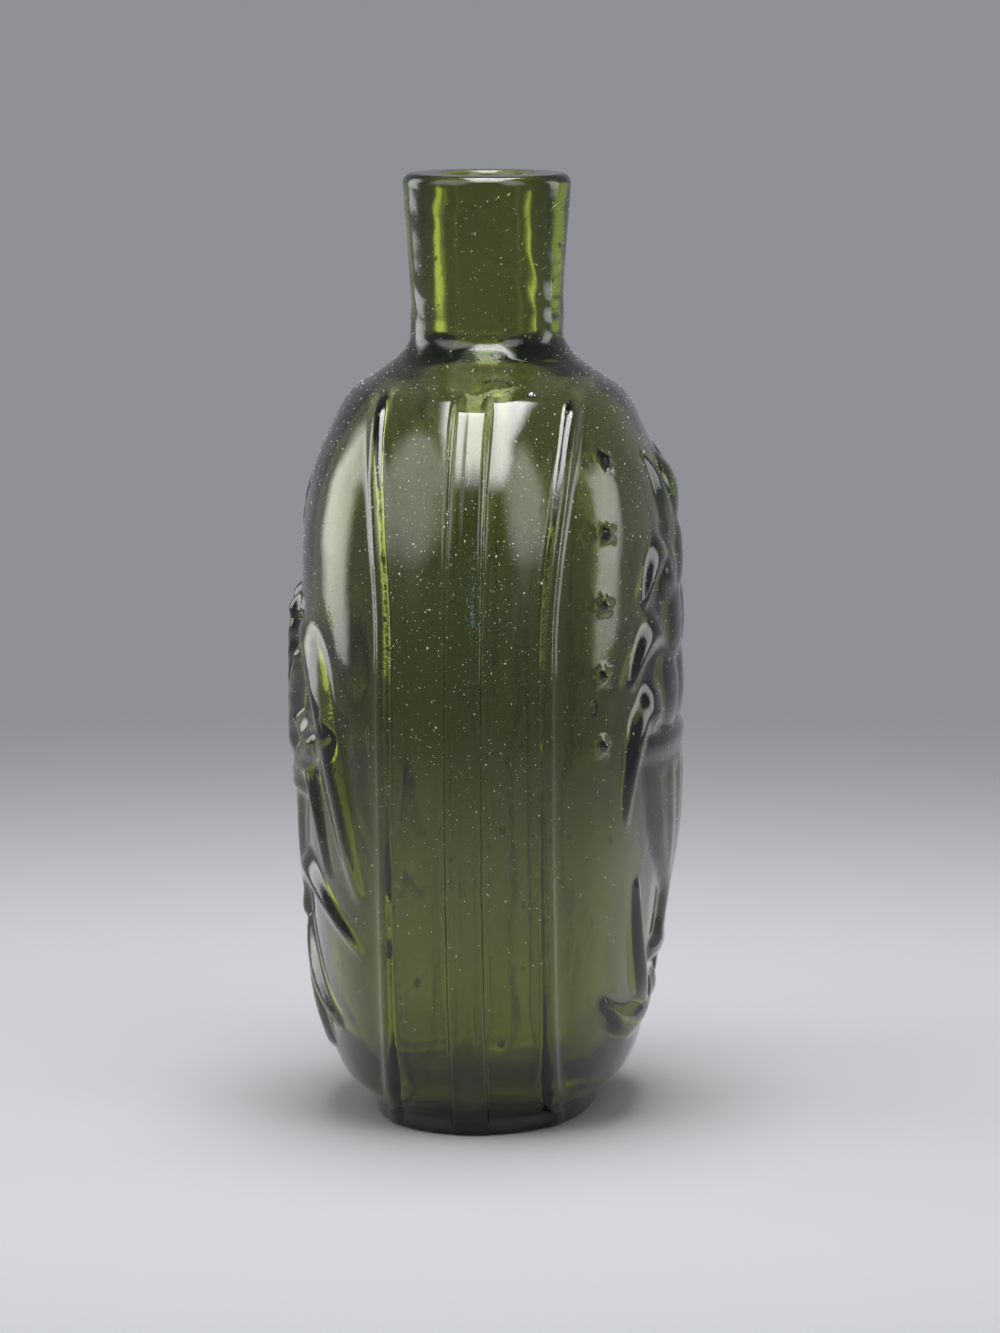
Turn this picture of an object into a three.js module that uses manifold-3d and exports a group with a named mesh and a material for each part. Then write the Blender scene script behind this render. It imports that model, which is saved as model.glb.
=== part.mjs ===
// Molded glass flask of about one pint: an oval body with a ribbed band down each edge, a sheaf of grain in
// relief on one broad face, a heaped urn between two rows of stars on the other, a plain flared neck and a
// low oval foot. The hollow underside keeps the broken scar of the rod that held the hot glass while its
// mouth was finished. Millimetres, +Z up, origin at the middle of the face that it stands on. X runs
// through the thickness and Y across the width, so the ribbed edges face -Y and +Y, the urn faces +X and
// the sheaf faces -X.

import * as THREE from "three";
import { mergeVertices } from "three/addons/utils/BufferGeometryUtils.js";
import Module from "manifold-3d";

const wasm = await Module();
wasm.setup();

// Whole flask
const flaskHeight = 172;
const bodyWidth = 112;
const bodyThickness = 67.2;
const bellyHeight = 78;
const reliefHeight = 2.9;

// Neck and lip, with the waist and the mouth measured down from the lip
const neckLength = 29.5;
const neckDiameter = 28.1;
const waistDrop = 23;
const lipDiameter = 30.9;
const lipEdgeRadius = 1.8;
const boreDiameter = 15.6;
const mouthDiameter = 18;
const mouthDepth = 3;

// Foot and underside
const footThickness = 40.4;
const footWidth = 76;
const footHeight = 3.2;
const footEdgeRadius = 0.8;
const restingRingWidth = 5.5;
const kickHeight = 3.6;
const scarSeatDiameter = 20;

// Glass walls
const faceWall = 3.6;
const edgeWall = 4.2;
const heelWall = 3.8;
const baseThickness = 5;
const floorRimHeight = 5.4;
const innerHeelRadius = 4;
const innerShoulderRise = 1.2;

// Ribs of the edge bands, whose side ribs spread apart where the shoulder starts
const middleRibWidth = 6.6;
const middleRibHeight = 1.5;
const sideRibWidth = 3;
const sideRibHeight = 1.1;
const sideRibOffset = 14.5;
const sideRibSpread = 3.2;
const ribTopDrop = 11;
const ribFadeLength = 7;
const ribSpreadLength = 45;

// Scar of the rod
const scarDiameter = 16.5;
const scarDepth = 1.9;

// Relief: how far its roots reach into the wall, and the sizes of its motifs
const reliefRoot = 1.8;
const leafWidth = 8;
const broadLeafWidth = 12.5;
const leafHeight = 1.7;
const earWidth = 7.6;
const stalkWidth = 3.4;
const stalkHeight = 1.9;
const tieWidth = 5.4;
const tieHeight = 2.3;
const sprigHeight = 1.2;
const starRadius = 2.7;
const starHeight = 1.4;
const starInset = 14;
const starPitch = 13.3;
const lowestStarHeight = 66;
const starsInRow = 5;

// Powers of the oval sections: 2 is an ellipse, and more is fuller at the corners
const bodyPower = 2.2;
const roundPower = 2;

// Fineness of the surfaces
const sideSteps = 6;
const cavitySegments = 32;
const overrun = 2;
const probeStep = 0.4;

// Worked out from the sizes above
const neckBase = flaskHeight - neckLength;
const bodyHeight = neckBase - footHeight;
const panelHalfWidth = bodyWidth / 2 - middleRibHeight;
const ribTop = neckBase - ribTopDrop;
const floorHeight = kickHeight + baseThickness;
const innerNeckBase = neckBase + innerShoulderRise;

// Outlines of the body. Each row has a share of the way up, then shares of the way from the end's size to
// the belly's, first for the thickness and then for the width. The shoulder's rows run from the belly to
// the neck.
const heelShares = [
  [0, 0, 0],
  [0.064, 0.44, 0.17],
  [0.144, 0.63, 0.33],
  [0.36, 0.81, 0.68],
  [0.69, 0.96, 0.95],
  [1, 1, 1],
];
const shoulderShares = [
  [0, 1, 1],
  [0.4, 0.99, 0.93],
  [0.605, 0.915, 0.8],
  [0.744, 0.74, 0.63],
  [0.837, 0.57, 0.44],
  [0.899, 0.28, 0.23],
  [0.946, 0.09, 0.08],
  [1, 0, 0],
];

const glass = new THREE.MeshStandardMaterial({ color: 0x66752a, roughness: 0.06, metalness: 0 });
const scarGlass = new THREE.MeshStandardMaterial({ color: 0x5b6a2c, roughness: 0.35, metalness: 0 });

const lerp = THREE.MathUtils.lerp;
const smoothstep = THREE.MathUtils.smoothstep;

// Smooth curve through one column of a share table that never overshoots its rows. A flat end has no slope
// there.
function curveThrough(rowShares, column, flatStart, flatEnd) {
  const last = rowShares.length - 1;
  const secants = rowShares.slice(1).map((row, i) => {
    return (row[column] - rowShares[i][column]) / (row[0] - rowShares[i][0]);
  });
  const slopes = rowShares.map((row, i) => {
    if (i === 0) return flatStart ? 0 : secants[0];
    if (i === last) return flatEnd ? 0 : secants[last - 1];
    const product = secants[i - 1] * secants[i];
    return product > 0 ? (2 * product) / (secants[i - 1] + secants[i]) : 0;
  });
  return (share) => {
    const at = THREE.MathUtils.clamp(share, 0, 1);
    let i = 0;
    while (i < last - 1 && at > rowShares[i + 1][0]) i += 1;
    const span = rowShares[i + 1][0] - rowShares[i][0];
    const t = (at - rowShares[i][0]) / span;
    const rise = t * t * (3 - 2 * t);
    const startPull = t * (1 - t) * (1 - t) * span * slopes[i];
    const endPull = t * t * (t - 1) * span * slopes[i + 1];
    return lerp(rowShares[i][column], rowShares[i + 1][column], rise) + startPull + endPull;
  };
}

const heelCurves = [1, 2].map((column) => curveThrough(heelShares, column, false, true));
const shoulderCurves = [1, 2].map((column) => curveThrough(shoulderShares, column, true, true));

// The outer body and the hollow in it: heights of foot, belly and neck base, with half thickness and half
// width there
const outerForm = {
  heights: [footHeight, bellyHeight, neckBase],
  foot: [footThickness / 2, footWidth / 2],
  belly: [bodyThickness / 2, panelHalfWidth],
  neck: [neckDiameter / 2, neckDiameter / 2],
};
const innerForm = {
  heights: [floorRimHeight + innerHeelRadius, bellyHeight, innerNeckBase],
  foot: outerForm.foot.map((half) => half - heelWall + innerHeelRadius),
  belly: [bodyThickness / 2 - faceWall, panelHalfWidth - edgeWall],
  neck: [boreDiameter / 2, boreDiameter / 2],
};

function bodyHalves(form, z) {
  const [low, belly, top] = form.heights;
  return form.belly.map((half, i) => {
    if (z < belly) return lerp(form.foot[i], half, heelCurves[i]((z - low) / (belly - low)));
    return lerp(form.neck[i], half, shoulderCurves[i]((z - belly) / (top - belly)));
  });
}

// Outer half thickness and half width of the smooth flask at any height, without ribs and relief
function outerHalves(z) {
  if (z <= footHeight) {
    const rise = Math.min(z, footEdgeRadius);
    const cut = footEdgeRadius - Math.sqrt(rise * (2 * footEdgeRadius - rise));
    return outerForm.foot.map((half) => half - cut);
  }
  if (z < neckBase) return bodyHalves(outerForm, z);
  const waist = flaskHeight - waistDrop;
  const lipStart = flaskHeight - lipEdgeRadius;
  const flareShare = THREE.MathUtils.clamp((z - waist) / (lipStart - waist), 0, 1);
  const flarePower = 1.3;
  const radius = lerp(neckDiameter, lipDiameter, flareShare ** flarePower) / 2;
  const over = Math.max(z - lipStart, 0);
  const cut = lipEdgeRadius - Math.sqrt(Math.max(lipEdgeRadius ** 2 - over ** 2, 0));
  return [radius - cut, radius - cut];
}

function sectionPower(z) {
  return lerp(bodyPower, roundPower, smoothstep(z, neckBase - 2 * ribTopDrop, neckBase));
}

// Half sizes of an oval at one place across: how far the other axis reaches there
function ovalReach(along, alongHalf, acrossHalf, power) {
  const share = Math.min(Math.abs(along) / alongHalf, 1);
  return acrossHalf * (1 - share ** power) ** (1 / power);
}

// Places across a ribbed band from its middle outward, with the height of the ribs there
function bandPlaces(z) {
  const shown = 1 - smoothstep(z, ribTop - ribFadeLength, ribTop);
  const spread = sideRibSpread * smoothstep(z, ribTop - ribSpreadLength, ribTop);
  const rib = sideRibOffset + spread;
  const middleHalf = middleRibWidth / 2;
  const sideHalf = sideRibWidth / 2;
  const middleFoot = 1.15 * middleHalf;
  const sideFoot = rib - sideHalf;
  const places = [
    [0, middleRibHeight],
    [0.5 * middleHalf, 0.97 * middleRibHeight],
    [0.85 * middleHalf, 0.8 * middleRibHeight],
    [middleFoot, 0],
    [(middleFoot + sideFoot) / 2, 0],
    [sideFoot, 0],
    [rib - 0.5 * sideHalf, 0.75 * sideRibHeight],
    [rib, sideRibHeight],
    [rib + 0.5 * sideHalf, 0.75 * sideRibHeight],
    [rib + sideHalf, 0],
  ];
  return places.map(([across, height]) => ({ across, height: height * shown }));
}

// One quarter of the flask's outline at a height, from the middle of an edge to the middle of a broad face
function outerQuarter(z) {
  const [halfThickness, halfWidth] = outerHalves(z);
  const power = sectionPower(z);
  const places = bandPlaces(z);
  const bandHalf = places[places.length - 1].across;
  const bandLimitShare = 0.82;
  const narrowed = Math.min(1, (bandLimitShare * halfThickness) / bandHalf);
  const quarter = places.map(({ across, height }) => {
    const x = across * narrowed;
    const y = ovalReach(x, halfThickness, halfWidth, power);
    const normal = new THREE.Vector2(
      (x / halfThickness) ** (power - 1) / halfThickness,
      (y / halfWidth) ** (power - 1) / halfWidth,
    ).normalize();
    return new THREE.Vector2(x + normal.x * height, y + normal.y * height);
  });
  const bandEnd = ovalReach(bandHalf * narrowed, halfThickness, halfWidth, power);
  for (let i = 1; i <= sideSteps; i += 1) {
    const y = bandEnd * (1 - i / sideSteps);
    quarter.push(new THREE.Vector2(ovalReach(y, halfWidth, halfThickness, power), y));
  }
  return quarter;
}

// The quarter turned into a whole ring, counter-clockwise from the middle of the -Y edge
function outerRing(z) {
  const quarter = outerQuarter(z);
  const inner = quarter.slice(1, -1);
  const edge = quarter[0];
  const face = quarter[quarter.length - 1];
  const place = (point, sideX, sideY) => new THREE.Vector3(sideX * point.x, sideY * point.y, z);
  return [
    place(edge, 1, -1),
    ...inner.map((point) => place(point, 1, -1)),
    place(face, 1, 1),
    ...inner.map((point) => place(point, 1, 1)).reverse(),
    place(edge, 1, 1),
    ...inner.map((point) => place(point, -1, 1)),
    place(face, -1, 1),
    ...inner.map((point) => place(point, -1, -1)).reverse(),
  ];
}

function ovalRing([halfThickness, halfWidth], z, power, segments) {
  return Array.from({ length: segments }, (_, i) => {
    const angle = (i / segments) * 2 * Math.PI;
    const reach = (value) => Math.sign(value) * Math.abs(value) ** (2 / power);
    return new THREE.Vector3(halfThickness * reach(Math.cos(angle)), halfWidth * reach(Math.sin(angle)), z);
  });
}

// Closed skin over a row of rings with equal counts, each end closed to a point, by default its ring's
// middle
function loft(rings, startPoint, endPoint) {
  const count = rings[0].length;
  const middle = (ring) => ring.reduce((sum, point) => sum.add(point), new THREE.Vector3()).divideScalar(count);
  const points = [...rings.flat(), startPoint ?? middle(rings[0]), endPoint ?? middle(rings[rings.length - 1])];
  const start = points.length - 2;
  const end = points.length - 1;
  const index = [];
  for (let r = 0; r < rings.length - 1; r += 1) {
    for (let i = 0; i < count; i += 1) {
      const a = r * count + i;
      const b = r * count + ((i + 1) % count);
      index.push(a, b, a + count, b, b + count, a + count);
    }
  }
  const lastRing = (rings.length - 1) * count;
  for (let i = 0; i < count; i += 1) {
    const next = (i + 1) % count;
    index.push(start, next, i);
    index.push(end, lastRing + i, lastRing + next);
  }
  const geometry = new THREE.BufferGeometry();
  geometry.setAttribute("position", new THREE.Float32BufferAttribute(points.flatMap((p) => p.toArray()), 3));
  geometry.setIndex(index);
  return geometry;
}

// Six times the signed volume, which is negative where the faces point inward
function signedVolume(geometry) {
  const position = geometry.getAttribute("position");
  const [a, b, c] = [0, 1, 2].map(() => new THREE.Vector3());
  let volume = 0;
  for (let i = 0; i < geometry.index.count; i += 3) {
    a.fromBufferAttribute(position, geometry.index.getX(i));
    b.fromBufferAttribute(position, geometry.index.getX(i + 1));
    c.fromBufferAttribute(position, geometry.index.getX(i + 2));
    volume += a.dot(b.cross(c));
  }
  return volume;
}

function solid(source) {
  const bare = source.clone();
  bare.deleteAttribute("normal");
  bare.deleteAttribute("uv");
  const geometry = mergeVertices(bare);
  const triangles = Uint32Array.from(geometry.index.array);
  if (signedVolume(geometry) < 0) {
    for (let i = 0; i < triangles.length; i += 3) {
      [triangles[i + 1], triangles[i + 2]] = [triangles[i + 2], triangles[i + 1]];
    }
  }
  const vertices = Float32Array.from(geometry.getAttribute("position").array);
  return new wasm.Manifold(new wasm.Mesh({ numProp: 3, vertProperties: vertices, triVerts: triangles }));
}

function geometryOf(manifold) {
  const mesh = manifold.getMesh();
  const geometry = new THREE.BufferGeometry();
  geometry.setAttribute("position", new THREE.BufferAttribute(mesh.vertProperties, 3));
  geometry.setIndex(new THREE.BufferAttribute(mesh.triVerts, 1));
  geometry.computeVertexNormals();
  return geometry;
}

// Heights from one to another, closer together at the start where the power is above one
function heights(from, to, steps, power) {
  return Array.from({ length: steps }, (_, i) => lerp(from, to, ((i + 1) / steps) ** power));
}

// Heights around a quarter turn of an edge, from its start to its full radius
function turnHeights(from, radius, steps) {
  return Array.from({ length: steps }, (_, i) => from + radius * Math.sin(((i + 1) / steps) * (Math.PI / 2)));
}

function outerBody() {
  const footArc = Array.from({ length: 3 }, (_, i) => footEdgeRadius * (1 - Math.cos((i / 2) * (Math.PI / 2))));
  const levels = [
    ...footArc,
    footHeight,
    ...heights(footHeight, bellyHeight, 9, 1.8),
    ...heights(neckBase, bellyHeight, 12, 1.35).reverse().slice(1),
    neckBase,
    ...heights(neckBase, flaskHeight - lipEdgeRadius, 3, 1),
    ...turnHeights(flaskHeight - lipEdgeRadius, lipEdgeRadius, 3),
  ];
  return solid(loft(levels.map(outerRing)));
}

// The hollow: a domed floor with a rounded heel, the body, the bore and the mouth, which opens past the lip
function cavity() {
  const rings = [];
  const add = (halves, z, power) => rings.push(ovalRing(halves, z, power, cavitySegments));
  const floorHalves = outerForm.foot.map((half) => half - heelWall);
  for (const share of [1 / 3, 2 / 3]) {
    const z = lerp(floorHeight, floorRimHeight, smoothstep(share, 0, 1));
    add(floorHalves.map((half) => half * share), z, bodyPower);
  }
  for (let i = 0; i < 3; i += 1) {
    const angle = (i / 3) * (Math.PI / 2);
    const grow = innerHeelRadius * Math.sin(angle);
    const z = floorRimHeight + innerHeelRadius * (1 - Math.cos(angle));
    add(floorHalves.map((half) => half + grow), z, bodyPower);
  }
  const [low, belly, top] = innerForm.heights;
  const shoulderLevels = heights(top, belly, 8, 1.3).reverse().slice(1);
  const bodyLevels = [low, ...heights(low, belly, 5, 1.6), ...shoulderLevels, top];
  for (const z of bodyLevels) add(bodyHalves(innerForm, z), z, sectionPower(z));
  const mouthStart = flaskHeight - mouthDepth;
  add(innerForm.neck, mouthStart, roundPower);
  for (let i = 1; i <= 3; i += 1) {
    const angle = (i / 3) * (Math.PI / 2);
    const radius = lerp(boreDiameter, mouthDiameter, 1 - Math.cos(angle)) / 2;
    add([radius, radius], mouthStart + mouthDepth * Math.sin(angle), roundPower);
  }
  add([mouthDiameter / 2, mouthDiameter / 2], flaskHeight + overrun, roundPower);
  return solid(loft(rings, new THREE.Vector3(0, 0, floorHeight)));
}

// The hollow under the foot, an oval dome with a flat round seat in the middle
function kickUp() {
  const steps = 5;
  const rimHalves = outerForm.foot.map((half) => half - restingRingWidth);
  const rings = [ovalRing(rimHalves, -overrun, bodyPower, cavitySegments)];
  for (let i = 0; i <= steps; i += 1) {
    const share = i / steps;
    const halves = rimHalves.map((half) => lerp(half, scarSeatDiameter / 2, share));
    const z = kickHeight * Math.sin(share * (Math.PI / 2));
    rings.push(ovalRing(halves, z, lerp(bodyPower, roundPower, share), cavitySegments));
  }
  return solid(loft(rings));
}

// Point on a broad face at a place across and up, raised off it along the surface's normal
function facePoint(side, y, z, lift) {
  const depth = (across, up) => {
    const [halfThickness, halfWidth] = outerHalves(up);
    return ovalReach(across, halfWidth, halfThickness, sectionPower(up));
  };
  const slopeAcross = (depth(y + probeStep, z) - depth(y - probeStep, z)) / (2 * probeStep);
  const slopeUp = (depth(y, z + probeStep) - depth(y, z - probeStep)) / (2 * probeStep);
  const normal = new THREE.Vector3(1, -slopeAcross, -slopeUp).normalize();
  const point = new THREE.Vector3(depth(y, z), y, z).addScaledVector(normal, lift);
  point.x *= side;
  return point;
}

// Place on the panel from its shares: across from the middle to the edge, and up from the foot to the neck
function panelPlace([acrossShare, upShare]) {
  return new THREE.Vector2(acrossShare * panelHalfWidth, footHeight + upShare * bodyHeight);
}

function panelCurve(placeShares) {
  return new THREE.QuadraticBezierCurve(...placeShares.map(panelPlace));
}

// Section across a blade of relief, from its root on one side to its root on the other: shares of its half
// width and of the rise from the roots to the top
const bladeSectionShares = [
  [-1.3, 0],
  [-0.4, 1],
  [0.4, 1],
  [1.3, 0],
];

// Blade of relief along a curve on a face. Each row has a share of the way along, with the width and height
// there.
function blade(side, placeShares, rows) {
  const curve = panelCurve(placeShares);
  const rings = rows.map(([share, width, height]) => {
    const centre = curve.getPoint(share);
    const tangent = curve.getTangent(share);
    return bladeSectionShares.map(([acrossShare, riseShare]) => {
      const across = (acrossShare * width) / 2;
      const lift = lerp(-reliefRoot, height, riseShare);
      return facePoint(side, centre.x - tangent.y * across, centre.y + tangent.x * across, lift);
    });
  });
  return solid(loft(rings));
}

// Leaf that swells from its root and runs out to a low tip
function leaf(side, placeShares, width, height) {
  const steps = 6;
  const tipShare = 0.22;
  const rows = Array.from({ length: steps + 1 }, (_, i) => {
    const share = i / steps;
    const fullness = lerp(tipShare, 1, Math.sin(Math.PI * share ** 0.8));
    return [share, width * fullness, height * Math.sqrt(fullness)];
  });
  return blade(side, placeShares, rows);
}

// Stalk that ends in an ear of grain, which swells at each pair of kernels and narrows between them
function ear(placeShares) {
  const stalkShare = 0.4;
  const kernelShares = [0.8, 1, 0.92, 0.68];
  const neckShare = 0.76;
  const rows = [
    [0, stalkWidth, stalkHeight],
    [stalkShare, stalkWidth / 2, stalkHeight],
  ];
  kernelShares.forEach((fullness, i) => {
    const place = (share) => lerp(stalkShare, 1, (i + share) / kernelShares.length);
    rows.push([place(0.45), earWidth * fullness, reliefHeight]);
    rows.push([place(0.95), earWidth * fullness * neckShare, reliefHeight * neckShare]);
  });
  rows[rows.length - 1] = [1, stalkWidth / 4, stalkHeight / 2];
  return blade(-1, placeShares, rows);
}

// Sheaf of grain on the -X face: ears in a fan, leaves that droop past them, a tie and the spread foot of
// the sheaf. Each curve has three places on the panel: its start, its pull and its end.
function sheaf() {
  const earShares = [
    [[0, 0.26], [0, 0.48], [0, 0.69]],
    [[0.05, 0.26], [0.1, 0.5], [0.23, 0.675]],
    [[0.1, 0.26], [0.24, 0.51], [0.46, 0.61]],
    [[0.15, 0.255], [0.36, 0.48], [0.67, 0.49]],
  ];
  const broadLeafShares = [[[0.34, 0.62], [0.66, 0.64], [0.81, 0.29]]];
  const leafShares = [
    [[0.3, 0.5], [0.52, 0.52], [0.64, 0.31]],
    [[0.14, 0.27], [0.42, 0.37], [0.77, 0.215]],
  ];
  const footShares = [
    [[0, 0.24], [0, 0.15], [0, 0.06]],
    [[0.05, 0.24], [0.1, 0.14], [0.19, 0.06]],
    [[0.1, 0.24], [0.19, 0.14], [0.36, 0.075]],
    [[0.14, 0.24], [0.3, 0.16], [0.52, 0.11]],
  ];
  const sprigShares = [
    [[0, 0.73], [0, 0.77], [0, 0.83]],
    [[0.02, 0.73], [0.13, 0.74], [0.19, 0.79]],
  ];
  const tieShares = [[-0.19, 0.245], [0, 0.25], [0.19, 0.245]];
  const mirrored = (curves) => {
    const turned = curves.filter(([start, , end]) => start[0] + end[0] > 0);
    return [...curves, ...turned.map((curve) => curve.map(([across, up]) => [-across, up]))];
  };
  return [
    ...mirrored(earShares).map(ear),
    ...mirrored(broadLeafShares).map((curve) => leaf(-1, curve, broadLeafWidth, leafHeight)),
    ...mirrored(leafShares).map((curve) => leaf(-1, curve, leafWidth, leafHeight)),
    ...mirrored(footShares).map((curve) => leaf(-1, curve, leafWidth, stalkHeight)),
    ...mirrored(sprigShares).map((curve) => leaf(-1, curve, stalkWidth, sprigHeight)),
    leaf(-1, tieShares, tieWidth, tieHeight),
  ];
}

// Rounded mound on the +X face. Rows have a height share and a half width share of the panel, and a share
// of the relief's height, which is below zero where the mound closes inside the wall.
function mound(outlineShares) {
  const acrossShares = [-1, -0.92, -0.5, 0, 0.5, 0.92, 1];
  const rings = outlineShares.map(([upShare, halfShare, liftShare]) => {
    const ring = acrossShares.map((acrossShare) => {
      const { x, y } = panelPlace([acrossShare * halfShare, upShare]);
      const rounded = Math.sqrt(1 - acrossShare ** 2);
      return facePoint(1, x, y, lerp(-reliefRoot, liftShare * reliefHeight, rounded));
    });
    const { x, y } = panelPlace([0, upShare]);
    ring.push(facePoint(1, x, y, -reliefRoot));
    return ring;
  });
  return solid(loft(rings));
}

function urnBody() {
  return mound([
    [0.176, 0.22, -0.6],
    [0.182, 0.24, 0.6],
    [0.2, 0.24, 0.7],
    [0.21, 0.13, 0.6],
    [0.228, 0.075, 0.6],
    [0.262, 0.075, 0.65],
    [0.283, 0.14, 0.7],
    [0.315, 0.27, 0.85],
    [0.36, 0.38, 1],
    [0.42, 0.45, 1],
    [0.455, 0.47, 0.9],
    [0.463, 0.53, 0.95],
    [0.485, 0.53, 1],
    [0.494, 0.5, 0.4],
    [0.5, 0.48, -0.6],
  ]);
}

// Low heap that the fruit is set in
function heap() {
  return mound([
    [0.49, 0.5, -0.6],
    [0.51, 0.52, 0.5],
    [0.56, 0.5, 0.6],
    [0.65, 0.37, 0.6],
    [0.74, 0.28, 0.6],
    [0.82, 0.13, 0.5],
    [0.86, 0.05, -0.6],
  ]);
}

// Ring of points around a place on the +X face, with a radius and a lift for each corner
function faceRing(y, z, corners, radiusAt, lift) {
  return Array.from({ length: corners }, (_, i) => {
    const angle = (i / corners) * 2 * Math.PI + Math.PI / 2;
    return facePoint(1, y + radiusAt(i) * Math.cos(angle), z + radiusAt(i) * Math.sin(angle), lift);
  });
}

// Round fruit pressed into the face, with its place and radius as shares of the panel
function fruit([acrossShare, upShare, radiusShare]) {
  const corners = 10;
  const { x, y } = panelPlace([acrossShare, upShare]);
  const radius = radiusShare * panelHalfWidth;
  const rings = [70, 38].map((degrees) => {
    const angle = THREE.MathUtils.degToRad(degrees);
    return faceRing(x, y, corners, () => radius * Math.sin(angle), reliefHeight * Math.cos(angle));
  });
  const root = faceRing(x, y, corners, () => radius, -reliefRoot);
  return solid(loft([root, ...rings], facePoint(1, x, y, -reliefRoot), facePoint(1, x, y, reliefHeight)));
}

// Urn heaped with fruit and leaves on the +X face
function urn() {
  const fruitShares = [
    [0, 0.545, 0.14],
    [0.24, 0.54, 0.13],
    [0.43, 0.525, 0.1],
    [0.12, 0.63, 0.13],
    [0, 0.71, 0.12],
    [0.21, 0.695, 0.1],
    [0, 0.802, 0.115],
  ];
  const leafShares = [
    [[0.4, 0.53], [0.56, 0.54], [0.6, 0.38]],
    [[0.26, 0.6], [0.44, 0.66], [0.57, 0.56]],
    [[0.2, 0.71], [0.36, 0.75], [0.45, 0.66]],
    [[0.05, 0.76], [0.18, 0.78], [0.25, 0.85]],
    [[0.08, 0.15], [0.34, 0.07], [0.6, 0.15]],
    [[0.2, 0.13], [0.4, 0.17], [0.47, 0.3]],
  ];
  const turnedFruit = ([across, up, radius]) => {
    return across > 0 ? [[across, up, radius], [-across, up, radius]] : [[across, up, radius]];
  };
  const turnedLeaf = (curve) => [curve, curve.map(([across, up]) => [-across, up])];
  return [
    urnBody(),
    heap(),
    ...fruitShares.flatMap(turnedFruit).map(fruit),
    ...leafShares.flatMap(turnedLeaf).map((curve) => leaf(1, curve, leafWidth, leafHeight)),
  ];
}

// Raised five-pointed star on the +X face, with a ridge to each point
function star(y, z) {
  const corners = 10;
  const notchShare = 0.48;
  const radiusAt = (i) => starRadius * (i % 2 ? notchShare : 1);
  const rings = [-reliefRoot, starHeight / 4].map((lift) => faceRing(y, z, corners, radiusAt, lift));
  return solid(loft(rings, facePoint(1, y, z, -reliefRoot), facePoint(1, y, z, starHeight)));
}

// Rows of stars that follow both edges of the panel at an even pitch
function starRows() {
  return [-1, 1].flatMap((edge) => {
    return Array.from({ length: starsInRow }, (_, i) => {
      const z = lowestStarHeight + i * starPitch;
      return star(edge * (outerHalves(z)[1] - starInset), z);
    });
  });
}

function flaskVessel() {
  const raised = wasm.Manifold.union([outerBody(), ...sheaf(), ...urn(), ...starRows()]);
  const vessel = raised.subtract(cavity()).subtract(kickUp());
  const mesh = new THREE.Mesh(geometryOf(vessel), glass);
  mesh.name = "flask_vessel";
  return mesh;
}

// Broken-off disc of the rod's own glass. Rows have shares of its radius and depth, and its outline and
// depth waver.
function pontilScar() {
  const rowShares = [
    [1, 0],
    [1.05, 0.35],
    [0.93, 0.8],
    [0.66, 1],
    [0.42, 0.6],
  ];
  const segments = 24;
  const rings = rowShares.map(([radiusShare, depthShare]) => {
    return Array.from({ length: segments }, (_, i) => {
      const angle = (i / segments) * 2 * Math.PI;
      const wander = 1 + 0.07 * Math.sin(3 * angle + 1) + 0.04 * Math.sin(7 * angle);
      const rough = 1 + 0.14 * Math.sin(5 * angle + 2);
      const radius = (scarDiameter / 2) * radiusShare * wander;
      const z = -scarDepth * depthShare * rough;
      return new THREE.Vector3(radius * Math.cos(angle), radius * Math.sin(angle), z);
    });
  });
  const mesh = new THREE.Mesh(geometryOf(solid(loft(rings))), scarGlass);
  mesh.name = "pontil_scar";
  mesh.position.z = kickHeight;
  return mesh;
}

const flask = new THREE.Group();
flask.add(flaskVessel(), pontilScar());

export default flask;
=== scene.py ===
import math

import bpy
import numpy as np
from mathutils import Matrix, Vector


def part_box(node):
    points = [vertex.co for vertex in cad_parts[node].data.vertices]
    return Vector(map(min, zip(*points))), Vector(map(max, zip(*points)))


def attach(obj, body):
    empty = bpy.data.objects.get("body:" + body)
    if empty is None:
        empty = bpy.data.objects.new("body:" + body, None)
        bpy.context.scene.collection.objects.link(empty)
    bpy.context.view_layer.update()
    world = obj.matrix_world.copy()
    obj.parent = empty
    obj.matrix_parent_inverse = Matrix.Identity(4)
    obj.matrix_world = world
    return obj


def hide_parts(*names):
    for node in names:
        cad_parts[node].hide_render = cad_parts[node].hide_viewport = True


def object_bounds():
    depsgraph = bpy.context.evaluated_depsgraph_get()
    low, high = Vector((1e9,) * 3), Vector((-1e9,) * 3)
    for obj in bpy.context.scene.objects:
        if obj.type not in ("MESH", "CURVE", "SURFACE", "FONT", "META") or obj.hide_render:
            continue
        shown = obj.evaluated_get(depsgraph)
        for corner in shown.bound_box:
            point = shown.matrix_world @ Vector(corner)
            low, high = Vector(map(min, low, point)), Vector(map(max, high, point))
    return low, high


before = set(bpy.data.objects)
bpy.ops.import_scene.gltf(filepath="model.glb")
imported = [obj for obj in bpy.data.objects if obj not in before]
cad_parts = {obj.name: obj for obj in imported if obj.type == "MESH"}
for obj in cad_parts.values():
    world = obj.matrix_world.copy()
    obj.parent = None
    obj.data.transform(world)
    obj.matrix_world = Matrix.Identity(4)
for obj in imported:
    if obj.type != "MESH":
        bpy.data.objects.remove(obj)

cad_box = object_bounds()

# Lengths are in millimetres while shapes are worked out, and MM turns them into metres.
MM = 0.001

# Whole flask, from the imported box: thickness over the relief, width over the middle ribs, and height
BOX_LOW = np.array(cad_box[0]) / MM
BOX_HIGH = np.array(cad_box[1]) / MM
FLASK_HEIGHT = BOX_HIGH[2]
BODY_WIDTH = BOX_HIGH[1] - BOX_LOW[1]
RELIEF_HEIGHT = 2.9
BODY_THICKNESS = BOX_HIGH[0] - BOX_LOW[0] - 2 * RELIEF_HEIGHT
BELLY_HEIGHT = 78.0

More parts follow.
